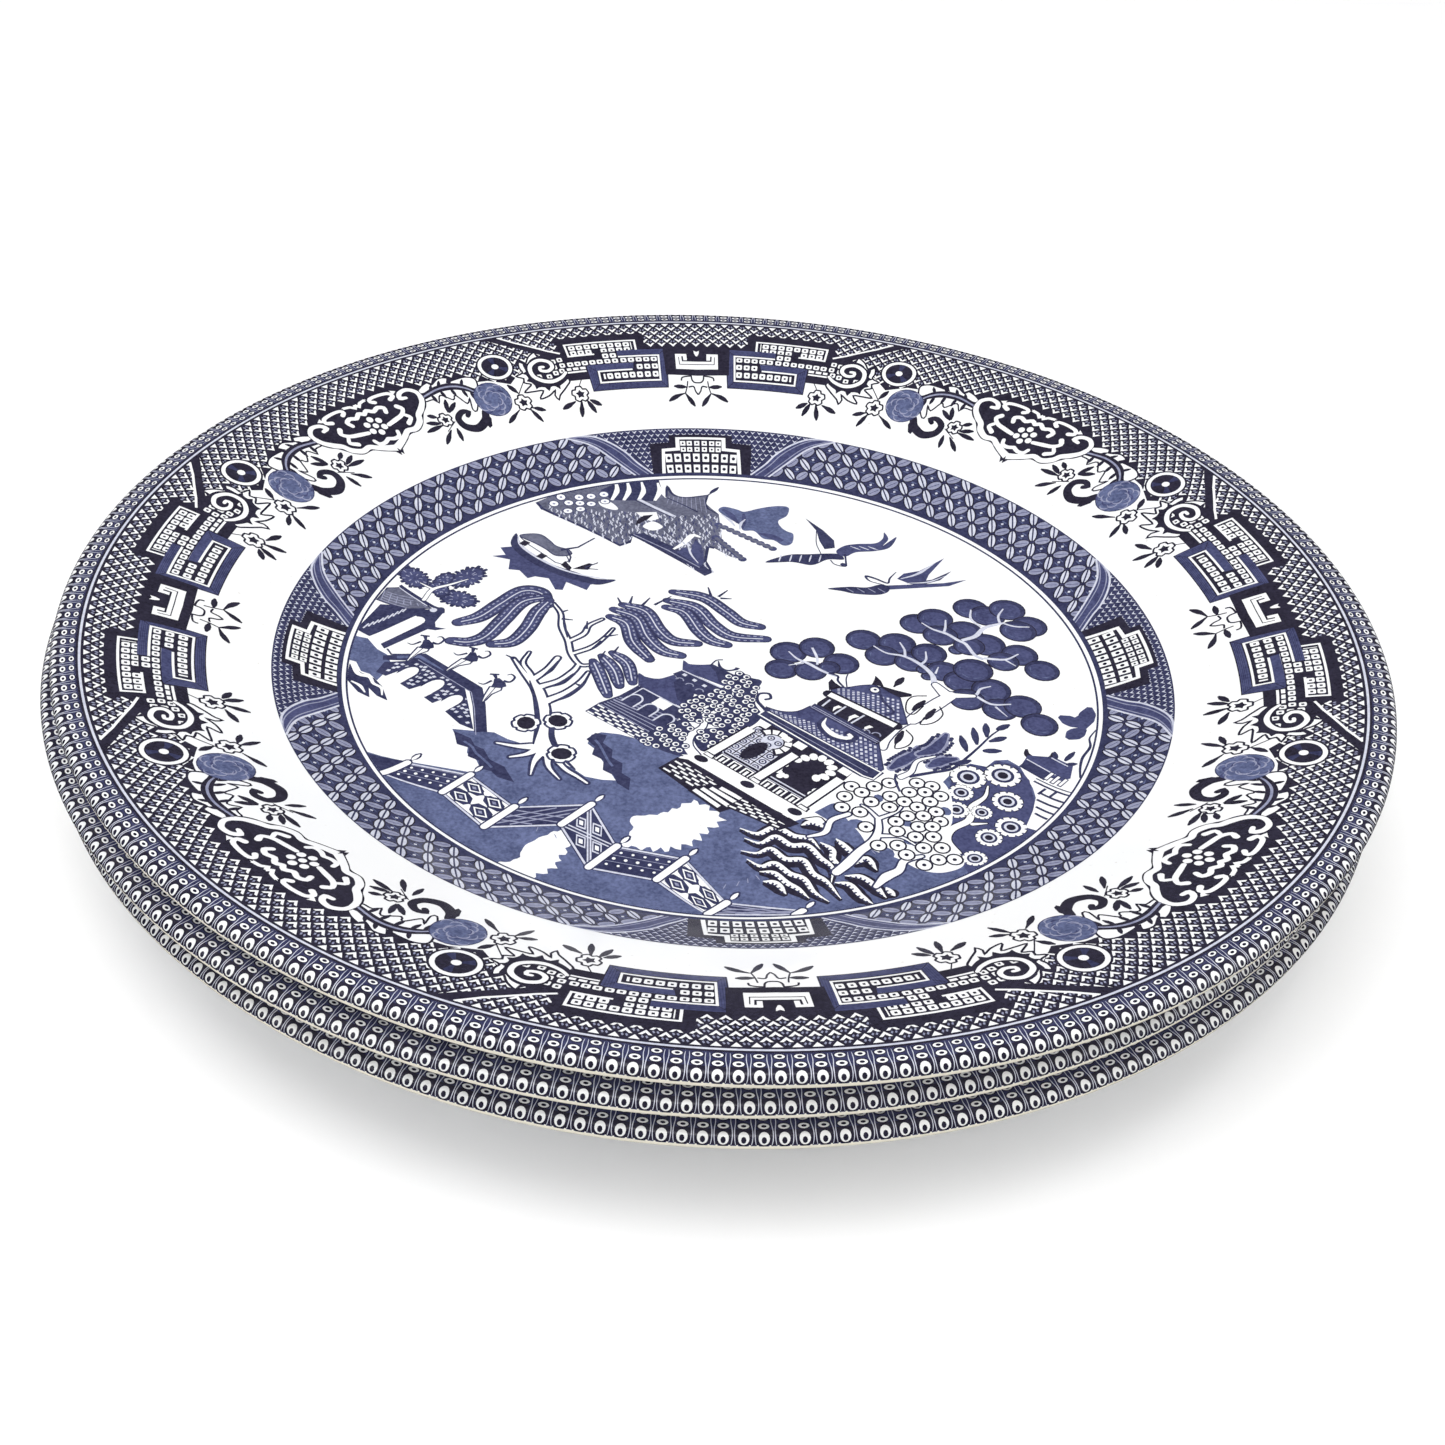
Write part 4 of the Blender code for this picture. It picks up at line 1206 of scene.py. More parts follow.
def draw_willow(d):
    """Old willow: outlined trunk and boughs, striped fronds, roots and three big blossoms."""
    boughs(d, [([(-36.8, -27), (-36.6, -20), (-37, -14), (-38, -8.4), (-41, -2.2),
                 (-43, 2.4)], (3, 2.5, 2.5, 2, 0.9, 0.3)),
               ([(-38.4, -7.4), (-39.6, -3), (-41, 0.8), (-39.8, 4.6)], (1.2, 0.9, 0.6, 0.2)),
               ([(-36.9, -12.8), (-32.6, -9.8), (-29.6, -6.2), (-27.8, -2.4)], (1.8, 1.3, 0.9, 0.3)),
               ([(-37.6, -7.6), (-33.6, -5.4), (-30.8, -2), (-29.7, 0.4)], (1.3, 1.1, 1, 0.6)),
               ([(-38.6, -4.6), (-36, -1.4), (-34, 2.6)], (1.2, 1, 0.9)),
               ([(-26.8, 0.2), (-29.4, 0.2), (-31.2, 4), (-31.9, 9), (-33.2, 14), (-33.4, 19),
                 (-35, 23)], (0.3, 0.6, 0.8, 0.8, 0.7, 0.5, 0.3)),
               ([(-31.8, 8.6), (-28.6, 11.4), (-27.4, 14.6), (-24.6, 17)], (0.7, 0.8, 0.5, 0.3)),
               ([(-30.9, 4.2), (-27, 6.6), (-24.2, 10.2), (-22.4, 13.4)], (0.7, 0.7, 0.3, 0.2)),
               ([(-39, -27.2), (-42, -27), (-45.6, -26)], (1.8, 0.8, 0.4)),
               ([(-38, -28.2), (-40, -29.6), (-43, -30.4)], (1.6, 0.8, 0.4)),
               ([(-37, -28.8), (-38.4, -32), (-39, -35.8)], (1.7, 0.8, 0.2)),
               ([(-35.8, -29.4), (-35.6, -33.4), (-33.6, -37.2)], (1.5, 0.7, 0.2)),
               ([(-35, -29.6), (-32.6, -34), (-30.2, -36.4), (-28.4, -38.4)], (1.4, 0.8, 0.7, 0.4))],
           0.52)
    d.fill(CLEAR, [(-38, -24), (-35.4, -24), (-34.4, -29.2), (-36.4, -30.4), (-38.8, -28.4)])
    for shade, widths in (([(-39.6, -5.4), (-38.8, -9.6), (-38.1, -14.6), (-37.9, -20), (-38.6, -26)],
                           (0.3, 0.8, 1, 1.1, 0.4)),
                          ([(-35.5, -15.4), (-35.1, -20), (-35, -24.6), (-33.2, -30), (-30.6, -34.4)],
                           (0.3, 1.2, 1.3, 1, 0.4)),
                          ([(-35.2, -12.8), (-32, -10.6), (-29.2, -7.2), (-27.6, -3.4)],
                           (0.4, 1.1, 0.9, 0.3)),
                          ([(-36.4, -7.8), (-33.2, -6.2), (-30.6, -3)], (0.4, 1.2, 0.7)),
                          ([(-37.4, -4.4), (-35.4, -1.8), (-33.8, 1.4)], (0.3, 1, 0.6)),
                          ([(-32, 10), (-32.5, 14), (-32.9, 18.4)], (0.3, 0.7, 0.3)),
                          ([(-27, 6), (-24.8, 8.8)], (0.3, 0.9))):
        d.curve("navy", shade, widths)
    for points, width in (([(-26.8, 1.6), (-25.6, -3), (-24, -10.4)], 3.1),
                          ([(-25, 3.4), (-22.6, -1.6), (-21.6, -7.2)], 3.1),
                          ([(-22.8, 4.6), (-19.8, 0.6), (-18.9, -6)], 3),
                          ([(-36, 22.2), (-37.6, 26.8), (-41.6, 27.6), (-46.2, 22.6), (-50.4, 17.6),
                            (-54.8, 15.4)], 4.2),
                          ([(-36.4, 25.4), (-41.6, 23.4), (-45.4, 16.6), (-48.8, 10.4), (-52.2, 8.2),
                            (-56, 8.6)], 4),
                          ([(-35.8, 24), (-38.2, 19.6), (-40.4, 13.2), (-43.4, 8.4), (-47.6, 7.4)], 3.8),
                          ([(-23, 18), (-19.6, 15.4), (-18.4, 8.6), (-15.2, 2.2)], 3.5),
                          ([(-22.2, 20.8), (-17.4, 17.6), (-15.4, 10.6), (-12.4, 5.4), (-8.6, 3.6)], 3.5),
                          ([(-20.2, 22.6), (-15.4, 20), (-12.8, 13), (-10, 9), (-5, 8)], 3.5),
                          ([(-11, 21.8), (-7, 19.8), (-4.4, 13), (-2, 9.2), (1.2, 7.6)], 3.5),
                          ([(-10.6, 24.4), (-4.6, 21.6), (-1.2, 15), (2.6, 10.8), (9.6, 9.8)], 3.5),
                          ([(-9.2, 27.8), (-2.6, 25.6), (1.8, 20.2), (4.8, 16), (8.8, 14.4)], 3.5)):
        frond(d, points, width)
    for root, tip in (((-20.4, 22.6), (-21.2, 25.4)), ((-18.6, 23.2), (-18, 26)),
                      ((-16, 22.4), (-14.2, 25.4)), ((-13.4, 22.6), (-9.6, 26)),
                      ((-1, 26.4), (-1.4, 29.8)), ((0.6, 26), (2.8, 28.6)), ((1, 25.4), (3.4, 25.2)),
                      ((-25.4, 2.4), (-24.2, 5.2)), ((-22.6, 4.4), (-21.4, 6.8)),
                      ((-33.2, 17), (-30.8, 16.6)), ((-33.2, 19.6), (-31.8, 20.4)),
                      ((-28, 13.2), (-27.8, 16.2)), ((-42.8, 2.2), (-44.6, 3.6)),
                      ((-29.6, -7), (-30.4, -6.4)), ((-24.4, 10.4), (-21.4, 11.2))):
        d.stroke("navy", [root, tip], (0.7, 0.3))
    for x, y, turn in ((-40.1, -19.6, 10), (-33.9, -18.9, 40), (-33.2, -29.4, 80)):
        ring = placed(petals(6, 2.8, 19, 2.4, 30, turn), (x, y))
        d.outlined(CLEAR, "navy", smooth(ring, True, 0.7), 0.48)
        d.disc("black", (x, y), (1.8, 2.05), 12, turn)


def draw_bridge(d):
    """Arched bridge at the left with a dark parapet, and three small walkers."""
    d.fill("navy", [(-69, 0.8), (-61.6, 1.6), (-52.4, -8.2), (-50.2, -21.8), (-53, -20),
                    (-56.2, -15.6), (-53.6, -12.8), (-54.6, -10.4), (-58.6, -13.2), (-60.4, -11.2),
                    (-56.6, -8.2), (-57.4, -5.8), (-60.2, -6.8), (-63.4, -8.6), (-65.4, -6.6),
                    (-62.4, -3.6), (-62.2, -1.6), (-64.4, -1.2), (-68.4, -4), (-70.4, -2.6)])
    spandrels = ([(-68.6, 0.2), (-61.6, 0.4), (-58, -4), (-60.4, -6.4), (-63.4, -8), (-64.8, -6.6),
                  (-62, -3.4), (-62.4, -1.4), (-64.6, -1), (-68.4, -3.4)],
                 [(-60.4, -0.6), (-57.6, -3.4), (-54, -7.6), (-53.6, -9.8), (-58.4, -12.6),
                  (-59.8, -11.2), (-56.2, -8.2), (-57.6, -5.4)],
                 [(-55.6, -15.6), (-53, -12.4), (-51.6, -11), (-51.4, -19.8)])
    for spandrel in spandrels:
        for x, y in scattered(spandrel, 1.35):
            lozenge = [(-0.55, 0), (0, -0.42), (0.55, 0), (0, 0.42)]
            d.fill("pale", placed(lozenge, (x, y), 20 * math.sin(x)))
    for centre, radius, turn in (((-63.9, -2.9), (2.4, 1.5), 45), ((-58.7, -7.4), (2.6, 1.6), 45),
                                 ((-54.6, -12.4), (2.3, 1.5), 45)):
        d.rings(centre, ("navy", (radius[0] + 0.55, radius[1] + 0.55), 16), (CLEAR, radius, 16), turn=turn)
        d.fill(CLEAR, placed(rectangle(-3.6, -radius[1], 0, radius[1]), centre, turn))
    parapet = [(-69.4, 2.4), (-61.4, 2.6), (-56.2, -2.6), (-50.2, -8.6), (-49.4, -14), (-48.8, -22.6)]
    d.stroke("navy", parapet, (1.6, 2.6, 2.6, 2.7, 2.6, 2.5))
    d.stroke("wash", [(-66.6, 2.6), (-62, 2.8), (-57, -2)], (0.9, 0.9, 0.3))
    d.stroke("tint", [(x - 0.9, y - 0.9) for x, y in parapet[1:]], 0.2)
    for x, y, turn in ((-61, 7.4, 0), (-51.6, 3, -14), (-46, -6.2, 6)):
        draw_walker(d, x, y, turn)


def draw_walker(d, x, y, turn):
    """Tiny walker in a trailing robe, no more than a silhouette with a staff."""
    def at(points):
        """Points of the figure where it stands, and leaning as it does."""
        return placed(points, (x, y), turn, 1.2)

    robe = at([(0.9, -0.6), (0.4, -2.2), (-1.2, -3.2), (-2.4, -4.9), (-3.1, -5.3), (-2.5, -3.4),
               (-1.4, -1)])
    d.outlined(CLEAR, "navy", robe, 0.34)
    d.stroke("navy", at([(-0.4, -1.2), (-1.6, -3.2), (-2.6, -4.8)]), 0.2)
    d.fill("navy", at([(-1.2, -1.2), (0.4, -1.6), (1.4, -1.2), (1.3, -0.2), (0.4, 1.3), (-0.5, 1.2),
                       (-0.7, 0)]))
    d.stroke("navy", at([(-1.1, 2.6), (0.5, 2.3)]), 0.5)
    d.stroke("navy", at([(-0.3, 2.4), (-0.1, 1.2)]), (0.9, 0.5))
    d.curve("navy", at([(1, 0.4), (2.1, 0), (3, 1.2), (2.5, 2.2), (1.8, 2)]), (0.8, 0.5, 0.5, 0.4, 0.2))
    d.curve("navy", at([(-0.9, 0.7), (-2.3, -0.2), (-3.2, 0.3)]), (0.6, 0.4, 0.2))


def draw_left_house(d):
    """House on the left shore with a white porch, a pine behind it and rocks below."""
    d.fill("wash", [(-76.6, 9.4), (-73, 9), (-70.8, 5.4), (-68.6, 3.4), (-67.4, -0.4), (-70, -5.6),
                    (-71.6, -3.4), (-73.4, -2.6), (-74.6, 0.4), (-76.8, 0.8)])
    d.fill("navy", [(-75.6, 11.6), (-71.4, 21.6), (-66.8, 22), (-61.6, 20.2), (-58.2, 21), (-58, 19.2),
                    (-59.6, 15.4), (-59.4, 13.6), (-57.2, 13), (-59.4, 12.4), (-61, 12.8),
                    (-69.4, 5.6), (-71, 8.8)])
    d.fill(CLEAR, [(-73, 9.6), (-70.6, 7), (-62.4, 14.6), (-62.2, 16.6), (-63.8, 17.8)], False)
    d.disc(CLEAR, (-63.2, 16), 1.5, 12)
    for index in range(9):
        x, y = -74.2 + 0.95 * index, 12.4 + 0.85 * index
        d.stroke("pale", [(x, y), (x + 1, y + 1.9)], 0.34)
    roof = [(-70.4, 27.6), (-67.2, 28.6), (-60.6, 20.6), (-65.4, 20.4), (-72.2, 23)]
    d.fill("grey", roof)
    d.stroke("navy", roof, 0.3, closed=True)
    for index in range(7):
        d.stroke("tint", [(-70.8 + 1.4 * index, 26.6 - 0.8 * index),
                          (-71.4 + 1.6 * index, 23.2 - 0.35 * index)], 0.2)
    for index in range(5):
        d.stroke("tint", [(-71.6 + 0.35 * index, 23.4 + 0.7 * index),
                          (-65.8 + 0.4 * index, 20.8 + 0.9 * index)], 0.2)
    d.curve("navy", [(-67.8, 29.2), (-60.4, 21.4), (-58.4, 20.6), (-58.2, 18.8)], 0.8)
    d.stroke("pale", [(-67.9, 28.4), (-61.6, 21.6)], 0.26)
    d.disc("pale", (-60.2, 20), 0.8, 10)
    d.fill(CLEAR, [(-68.6, 5.6), (-66, 7.6), (-63, 4.6), (-64, 3.6), (-67.6, 3.6)])
    d.stroke("navy", [(-68.8, 5.6), (-67.8, 3.6), (-63.6, 3.6), (-62.4, 4.6)], 0.4)
    for centre, size, turn in (((-65, 32.4), (4.2, 3), -55), ((-53.6, 33), (4.9, 3.2), 50),
                               ((-58.6, 32), (3, 1.9), 60), ((-55.2, 24.4), (4.4, 3), -25),
                               ((-59.4, 28.2), (3.2, 2), -60)):
        for index in range(20):
            tip = 1 + 0.12 * (index % 2)
            ray = [polar((size[0] * reach, size[1] * reach), 18 * index) for reach in (0.6, tip)]
            d.stroke("navy", placed(ray, centre, turn), (1.5, 0.7))
        d.disc("deep", centre, (0.82 * size[0], 0.82 * size[1]), 20, turn)
        for index in range(13):
            tick = [polar((size[0] * reach, size[1] * reach), 28 * index)
                    for reach in (0.3 + 0.3 * (index % 2), 0.52 + 0.3 * (index % 2))]
            d.stroke("tint", placed(tick, centre, turn), 0.26)
    boughs(d, [([(-62.4, 24), (-60.8, 28), (-57.2, 30), (-53.4, 32.2)], (0.9, 0.9, 0.6, 0.2)),
               ([(-60.8, 28.2), (-63.6, 30.6)], (0.6, 0.2))], 0.18)
    d.fill("navy", [(-75.8, -0.6), (-73.2, -3.2), (-70.6, -4.8), (-68.8, -7.6), (-67.4, -12.4),
                    (-69.6, -10.8), (-71.4, -8.2), (-71, -11.4), (-73.4, -9.8), (-76, -6)])
    d.curve(CLEAR, [(-75.2, -0.8), (-73.8, -3.6), (-71.6, -4.4), (-70.6, -6.6), (-69, -8), (-68.6, -10.6)],
            (0.8, 1.1, 0.8, 0.7, 0.6, 0.3))
    d.curve(CLEAR, [(-75, -6.4), (-73.2, -7.6), (-72, -9.8)], (0.4, 0.8, 0.3))


def draw_boat(d):
    """Boat with a round cabin, riding on blue reflections."""
    d.fill("deep", [(-43.6, 46), (-46.8, 45.4), (-45.6, 42.4), (-48.6, 41.8), (-44.6, 40.4), (-44.8, 36.4),
                    (-42.4, 36), (-40.6, 32.8), (-39, 33.6), (-36, 32.8), (-34.6, 28.4), (-33, 28.2),
                    (-32.2, 31.4), (-29.4, 29.4), (-27.8, 28.2), (-27, 30.4), (-25.4, 31), (-34, 36),
                    (-39.4, 42)])
    hull = smooth([(-43.4, 51.6), (-44.6, 47.6), (-43.2, 43.6), (-39.2, 38.6), (-33.6, 34), (-28.4, 31.4),
                   (-25, 30.4), (-21.4, 32.4), (-26, 32.9), (-30, 35.4), (-35, 38.4), (-40, 43.6),
                   (-42.4, 47.6)], True, 0.9)
    d.fill("navy", hull)
    d.curve("pale", [(-43, 50.4), (-42.4, 46.6), (-38.8, 41.6), (-33.8, 37), (-29, 34.4), (-23.2, 32.6)],
            (0.2, 0.7, 0.7, 0.6, 0.5, 0.2))
    d.outlined(CLEAR, "navy", [(-42.4, 49.8), (-40.6, 46.8), (-37.6, 43.2), (-34.6, 39.4), (-33, 38.6),
                               (-31.6, 40.2), (-32.2, 42.4), (-35, 45.8), (-38, 48.6), (-41, 50.6)], 0.26)
    d.outlined("grey", "navy", smooth([(-42.6, 50.4), (-40.4, 51.4), (-37.8, 51), (-35.8, 48.4),
                                       (-34.4, 46.2), (-31.6, 44.6), (-31.2, 42.6), (-34.4, 42.2),
                                       (-36.8, 45), (-39.2, 47.4)], True, 0.8), 0.3)
    for x, y in ((-41.4, 47.4), (-37.6, 42)):
        d.fill("black", placed([(-0.9, -1), (0.9, -1), (0.9, 0.9), (-0.9, 0.9)], (x, y), -40))
    d.stroke("navy", [(-33.4, 44.6), (-29.6, 45.8), (-25.8, 49.8)], (0.9, 0.5, 0.4))
    d.stroke("navy", [(-32, 44.6), (-31.2, 41.6), (-31.6, 39.4)], 0.4)
    d.fill("black", [(-33.4, 38.4), (-32.4, 40), (-31, 37.2), (-31.6, 35.8)])
    d.fill("black", [(-30.8, 36.8), (-27.2, 39.2), (-26.4, 38.8), (-27.4, 36.4)])
    d.stroke("navy", [(-28, 37.4), (-25.2, 39.4)], 0.36)
    d.stroke("navy", [(-28.2, 37), (-25.2, 36.6)], 0.3)


def draw_birds(d):
    """Two swallows facing each other over the water."""
    d.fill("navy", [(23, 59.6), (26.6, 54.2), (28.6, 49.8), (28.4, 46.6), (26, 46), (25.2, 49.6),
                    (25, 54)])
    d.fill("navy", smooth([(12, 40.2), (17.4, 43.4), (22, 43.8), (27.6, 44.2), (29.4, 43.6), (29.8, 41.6),
                           (26.2, 41.6), (22.4, 39.2), (18, 40.4)], True, 0.9))
    for x in (15.4, 17.8, 20, 22.2, 24.4):
        d.curve("pale", [(x + 0.5, 43.4), (x - 0.3, 40.6)], (0.2, 0.4, 0.2))
    d.fill("deep", smooth([(28.6, 45.4), (30.8, 47.6), (33.8, 48.4), (38, 48.8), (40, 51), (40.6, 53.6),
                           (41.2, 50.6), (39.6, 47.8), (43.2, 51.6), (41, 47), (37.4, 45.4), (33, 44.8),
                           (30.6, 43), (29, 43.6)], True, 0.8))
    for x in (32, 34, 36):
        d.curve("pale", [(x, 47.4), (x + 2.2, 45.8)], (0.12, 0.4, 0.1))
    d.curve("navy", [(25, 54), (24.4, 48.6), (24.8, 45), (25.2, 42.4)], 0.22)
    d.curve("navy", [(30.4, 44), (30.2, 40.6), (29.8, 38.8), (27.6, 39.6), (26.8, 41.4)],
            (0.5, 0.4, 0.5, 0.3, 0.3))
    d.disc("navy", (29.4, 39.6), 0.65, 8)
    d.fill("deep", [(52.8, 42.6), (46.4, 37.2), (42.6, 36), (40.8, 33.8), (43.6, 31.6), (46.8, 32.2),
                    (48.2, 35.6)])
    d.fill("navy", [(53.6, 37.2), (50.4, 33.4), (45.2, 31), (43, 32), (48.6, 33.6)])
    d.fill("deep", [(56.4, 33.6), (52, 31), (45.6, 30.2), (38.6, 29.4), (37.6, 31), (45, 31.6),
                    (51, 32.2)])
    d.curve("pale", [(41.6, 33.8), (45.8, 36), (50.8, 41)], (0.2, 0.8, 0.1))
    d.curve("pale", [(42.6, 32), (47.6, 32.6), (52.2, 35.4)], (0.2, 0.5, 0.1))
    d.curve("navy", [(41, 36.6), (39.2, 34), (38.4, 32), (36, 33.8), (34, 34.8), (34.6, 32.8),
                     (37.6, 31.2)], (0.2, 0.4, 0.5, 0.6, 0.7, 0.3, 0.3))
    d.fill("navy", smooth([(24.8, 29.6), (29.6, 30.4), (33.6, 30.2), (36.6, 31.4), (38.6, 30.6), (38, 28.4),
                           (35.4, 27.2), (30.6, 27.6), (28, 28.6)], True, 0.9))
    for x in (29, 31.4, 33.8, 36):
        d.stroke("tint", [(x, 29.8), (x + 1.4, 28.2)], 0.22)


def draw_island(d):
    """Far island: rocky shore, white-fruited tree, house with curled roof, and a cloud-like tree."""
    rock = [(-39, 64.6), (-37.6, 62.4), (-30, 56), (-24, 50.6), (-20.2, 46.8), (-18, 48.2),
            (-17.4, 51.6), (-12, 46), (-6, 39.6), (-1.8, 34.8), (-0.2, 36), (-1.4, 40.4), (-0.4, 46.6),
            (1, 46), (4.4, 42.4), (7.2, 41.2), (6.4, 43.2), (3.4, 47), (3, 50), (3, 61),
            (0.4, 65.2), (-10, 68.6), (-14, 76), (-26, 72), (-33, 69.4)]
    d.fill("grey", rock)
    d.stroke("navy", rock[:14], 0.7)
    grassed = rock[:20] + [(3, 61), (-10, 62), (-24, 62), (-33, 62)]
    for index, (x, y) in enumerate(scattered(grassed, 1.35)):
        bend = 0.4 * math.sin(2.2 * index)
        d.curve("pale" if index % 3 else "deep", [(x, y - 0.8), (x + bend, y), (x, y + 0.85)],
                (0.12, 0.38, 0.12))
    d.fill("navy", [(-18.2, 51.6), (-12.6, 46.6), (-6, 39.8), (-2, 35.2), (-0.4, 36.2), (-2.2, 39.4),
                    (-7.4, 45.6), (-14.6, 52.2)])
    d.fill("deep", [(-7.6, 44.2), (-5.4, 46.4), (-2.4, 37.8)])
    d.fill("deep", [(-4.6, 44), (-3, 50), (-1.8, 47), (-1.6, 40.4), (-2.4, 38.2)])
    d.curve(CLEAR, [(-8.2, 45.4), (-5.8, 48), (-3.6, 51.4), (-1.8, 50.6)], (0.6, 1.2, 1.5, 0.5))
    d.curve("pale", [(-5, 48.4), (-4.4, 43.4), (-3, 39.6)], (0.3, 0.5, 0.2))
    d.stroke("tint", [(-17, 51.6), (-9.6, 45), (-2.8, 37.8)], 0.3)
    for index in range(10):
        x = -14.5 + 1.05 * index
        d.curve("pale", [(x, 52.8 - 0.5 * index), (x + 0.7, 51.6 - 0.55 * index)], (0.2, 0.55, 0.2))
    d.fill("grey", [(-24.6, 71), (-13, 77), (-9.4, 68.8), (-8.6, 67), (-2, 61), (-4.4, 60),
                    (-16, 61.2), (-20.4, 62)])
    d.fill("navy", [(-24.2, 70.8), (-20.6, 73.4), (-10.4, 76), (-9.8, 72.4), (-11.6, 66.6), (-21.6, 66.8)])
    for x in (-21.2, -18.4, -15, -11.2):
        d.curve(CLEAR, [(x + 0.6, 74.4), (x + 0.9, 71), (x - 0.4, 66.8)], (0.5, 1.3, 0.7))
    d.stroke("pale", [(-15.4, 67.4), (-12, 64), (-7.4, 59.8)], 0.85)
    d.stroke("navy", [(-16, 66.8), (-12.4, 63.4), (-8, 59.4)], 0.25)
    d.fill(CLEAR, [(-24.6, 66.2), (-22, 66), (-20.2, 63), (-21.4, 62.4), (-24, 64)], True)
    roof = smooth([(-8.8, 68.6), (-8.4, 73), (-7.2, 69.8), (-4.4, 68.4), (1, 69.6)], gap=1)
    d.fill("grey", roof + [(0.2, 66), (2.6, 61.2), (-4.2, 60.2), (-9.6, 66.4)])
    d.stroke("navy", roof + [(0.2, 66), (0.6, 63.4), (2.6, 61.2)], (0.5, 0.7, 0.5, 0.4))
    for index in range(9):
        u = index / 8
        d.stroke("tint", [(-8 + 8 * u, 68.6 - 0.4 * u + 0.6 * abs(u - 0.5)), (-8.8 + 9 * u, 65.6 - 4 * u)],
                 0.14)
    d.stroke("navy", [(-8.6, 68.2), (-4.6, 64.6), (-1.8, 61.8)], 0.4)
    d.stroke("navy", [(1, 69.6), (3.4, 72.6)], 0.4)
    leaf(d, "navy", (1.6, 70.6), (3.8, 73.2), 1)
    d.fill(CLEAR, [(-16.2, 61.4), (-11.4, 61.6), (-11, 58.6), (-13, 57.6), (-15, 59.6)])
    d.fill("black", [(-16.4, 55.6), (-13.6, 58.2), (-12.2, 60.4), (-14.4, 60), (-16, 57.8)])
    d.fill(CLEAR, [(-14.8, 55.2), (-12.4, 57.4), (-10.2, 55), (-12.6, 53.4)], True)
    for x, y in ((-35, 64.6), (-31.6, 65.2), (-29.2, 67.6), (-26.4, 68.2), (-23.4, 69.2), (-28.9, 62.6),
                 (-31.8, 61.7), (-26.4, 65), (-23.2, 66.2), (-29, 65.2), (-33.4, 67.2)):
        d.rings((x, y), ("deep", 1.3, 12), (CLEAR, 1.02, 12), ("tint", 0.36, 6))
    cloud = [(3, 62.6), (4.4, 64.4), (7.4, 63.2), (9, 62.2), (12.2, 63.6), (15, 64.6), (17.8, 65),
             (19.6, 64.2), (18.8, 60.6), (16.6, 58.2), (17, 55.4), (18.2, 53.6), (19.5, 52.4), (18.8, 48.4),
             (16.8, 47.4), (14.8, 49.6), (12.4, 50.4), (10.6, 53.6), (8.2, 53.8), (7.4, 56.4), (5, 59.4)]
    d.fill("wash", cloud, True)
    d.curve("deep", [(4, 63.2), (5.6, 61), (7.2, 57)], (0.8, 1.6, 0.6))
    d.curve("deep", [(8.8, 61.2), (8.6, 57.6), (8, 54.6)], (0.6, 1.2, 0.4))
    d.curve("deep", [(11.6, 52.6), (14.2, 51.4), (16.8, 49.4)], (0.6, 2, 1.2))
    d.curve("pale", [(3.6, 61), (5.4, 58.2), (6.4, 55.6)], (0.2, 0.8, 0.3))
    d.curve("pale", [(9, 58.8), (7.8, 56.8), (7.4, 54.2)], (0.2, 0.8, 0.2))
    for start, end, count in (((2.6, 56.2), (14.2, 46), 9), ((1.6, 50.6), (7, 41.4), 7)):
        for index in range(count + 1):
            u = index / count
            place = (start[0] + (end[0] - start[0]) * u, start[1] + (end[1] - start[1]) * u)
            d.disc("deep", place, 1, 10)
        d.stroke("grey", [start, end], 0.9)


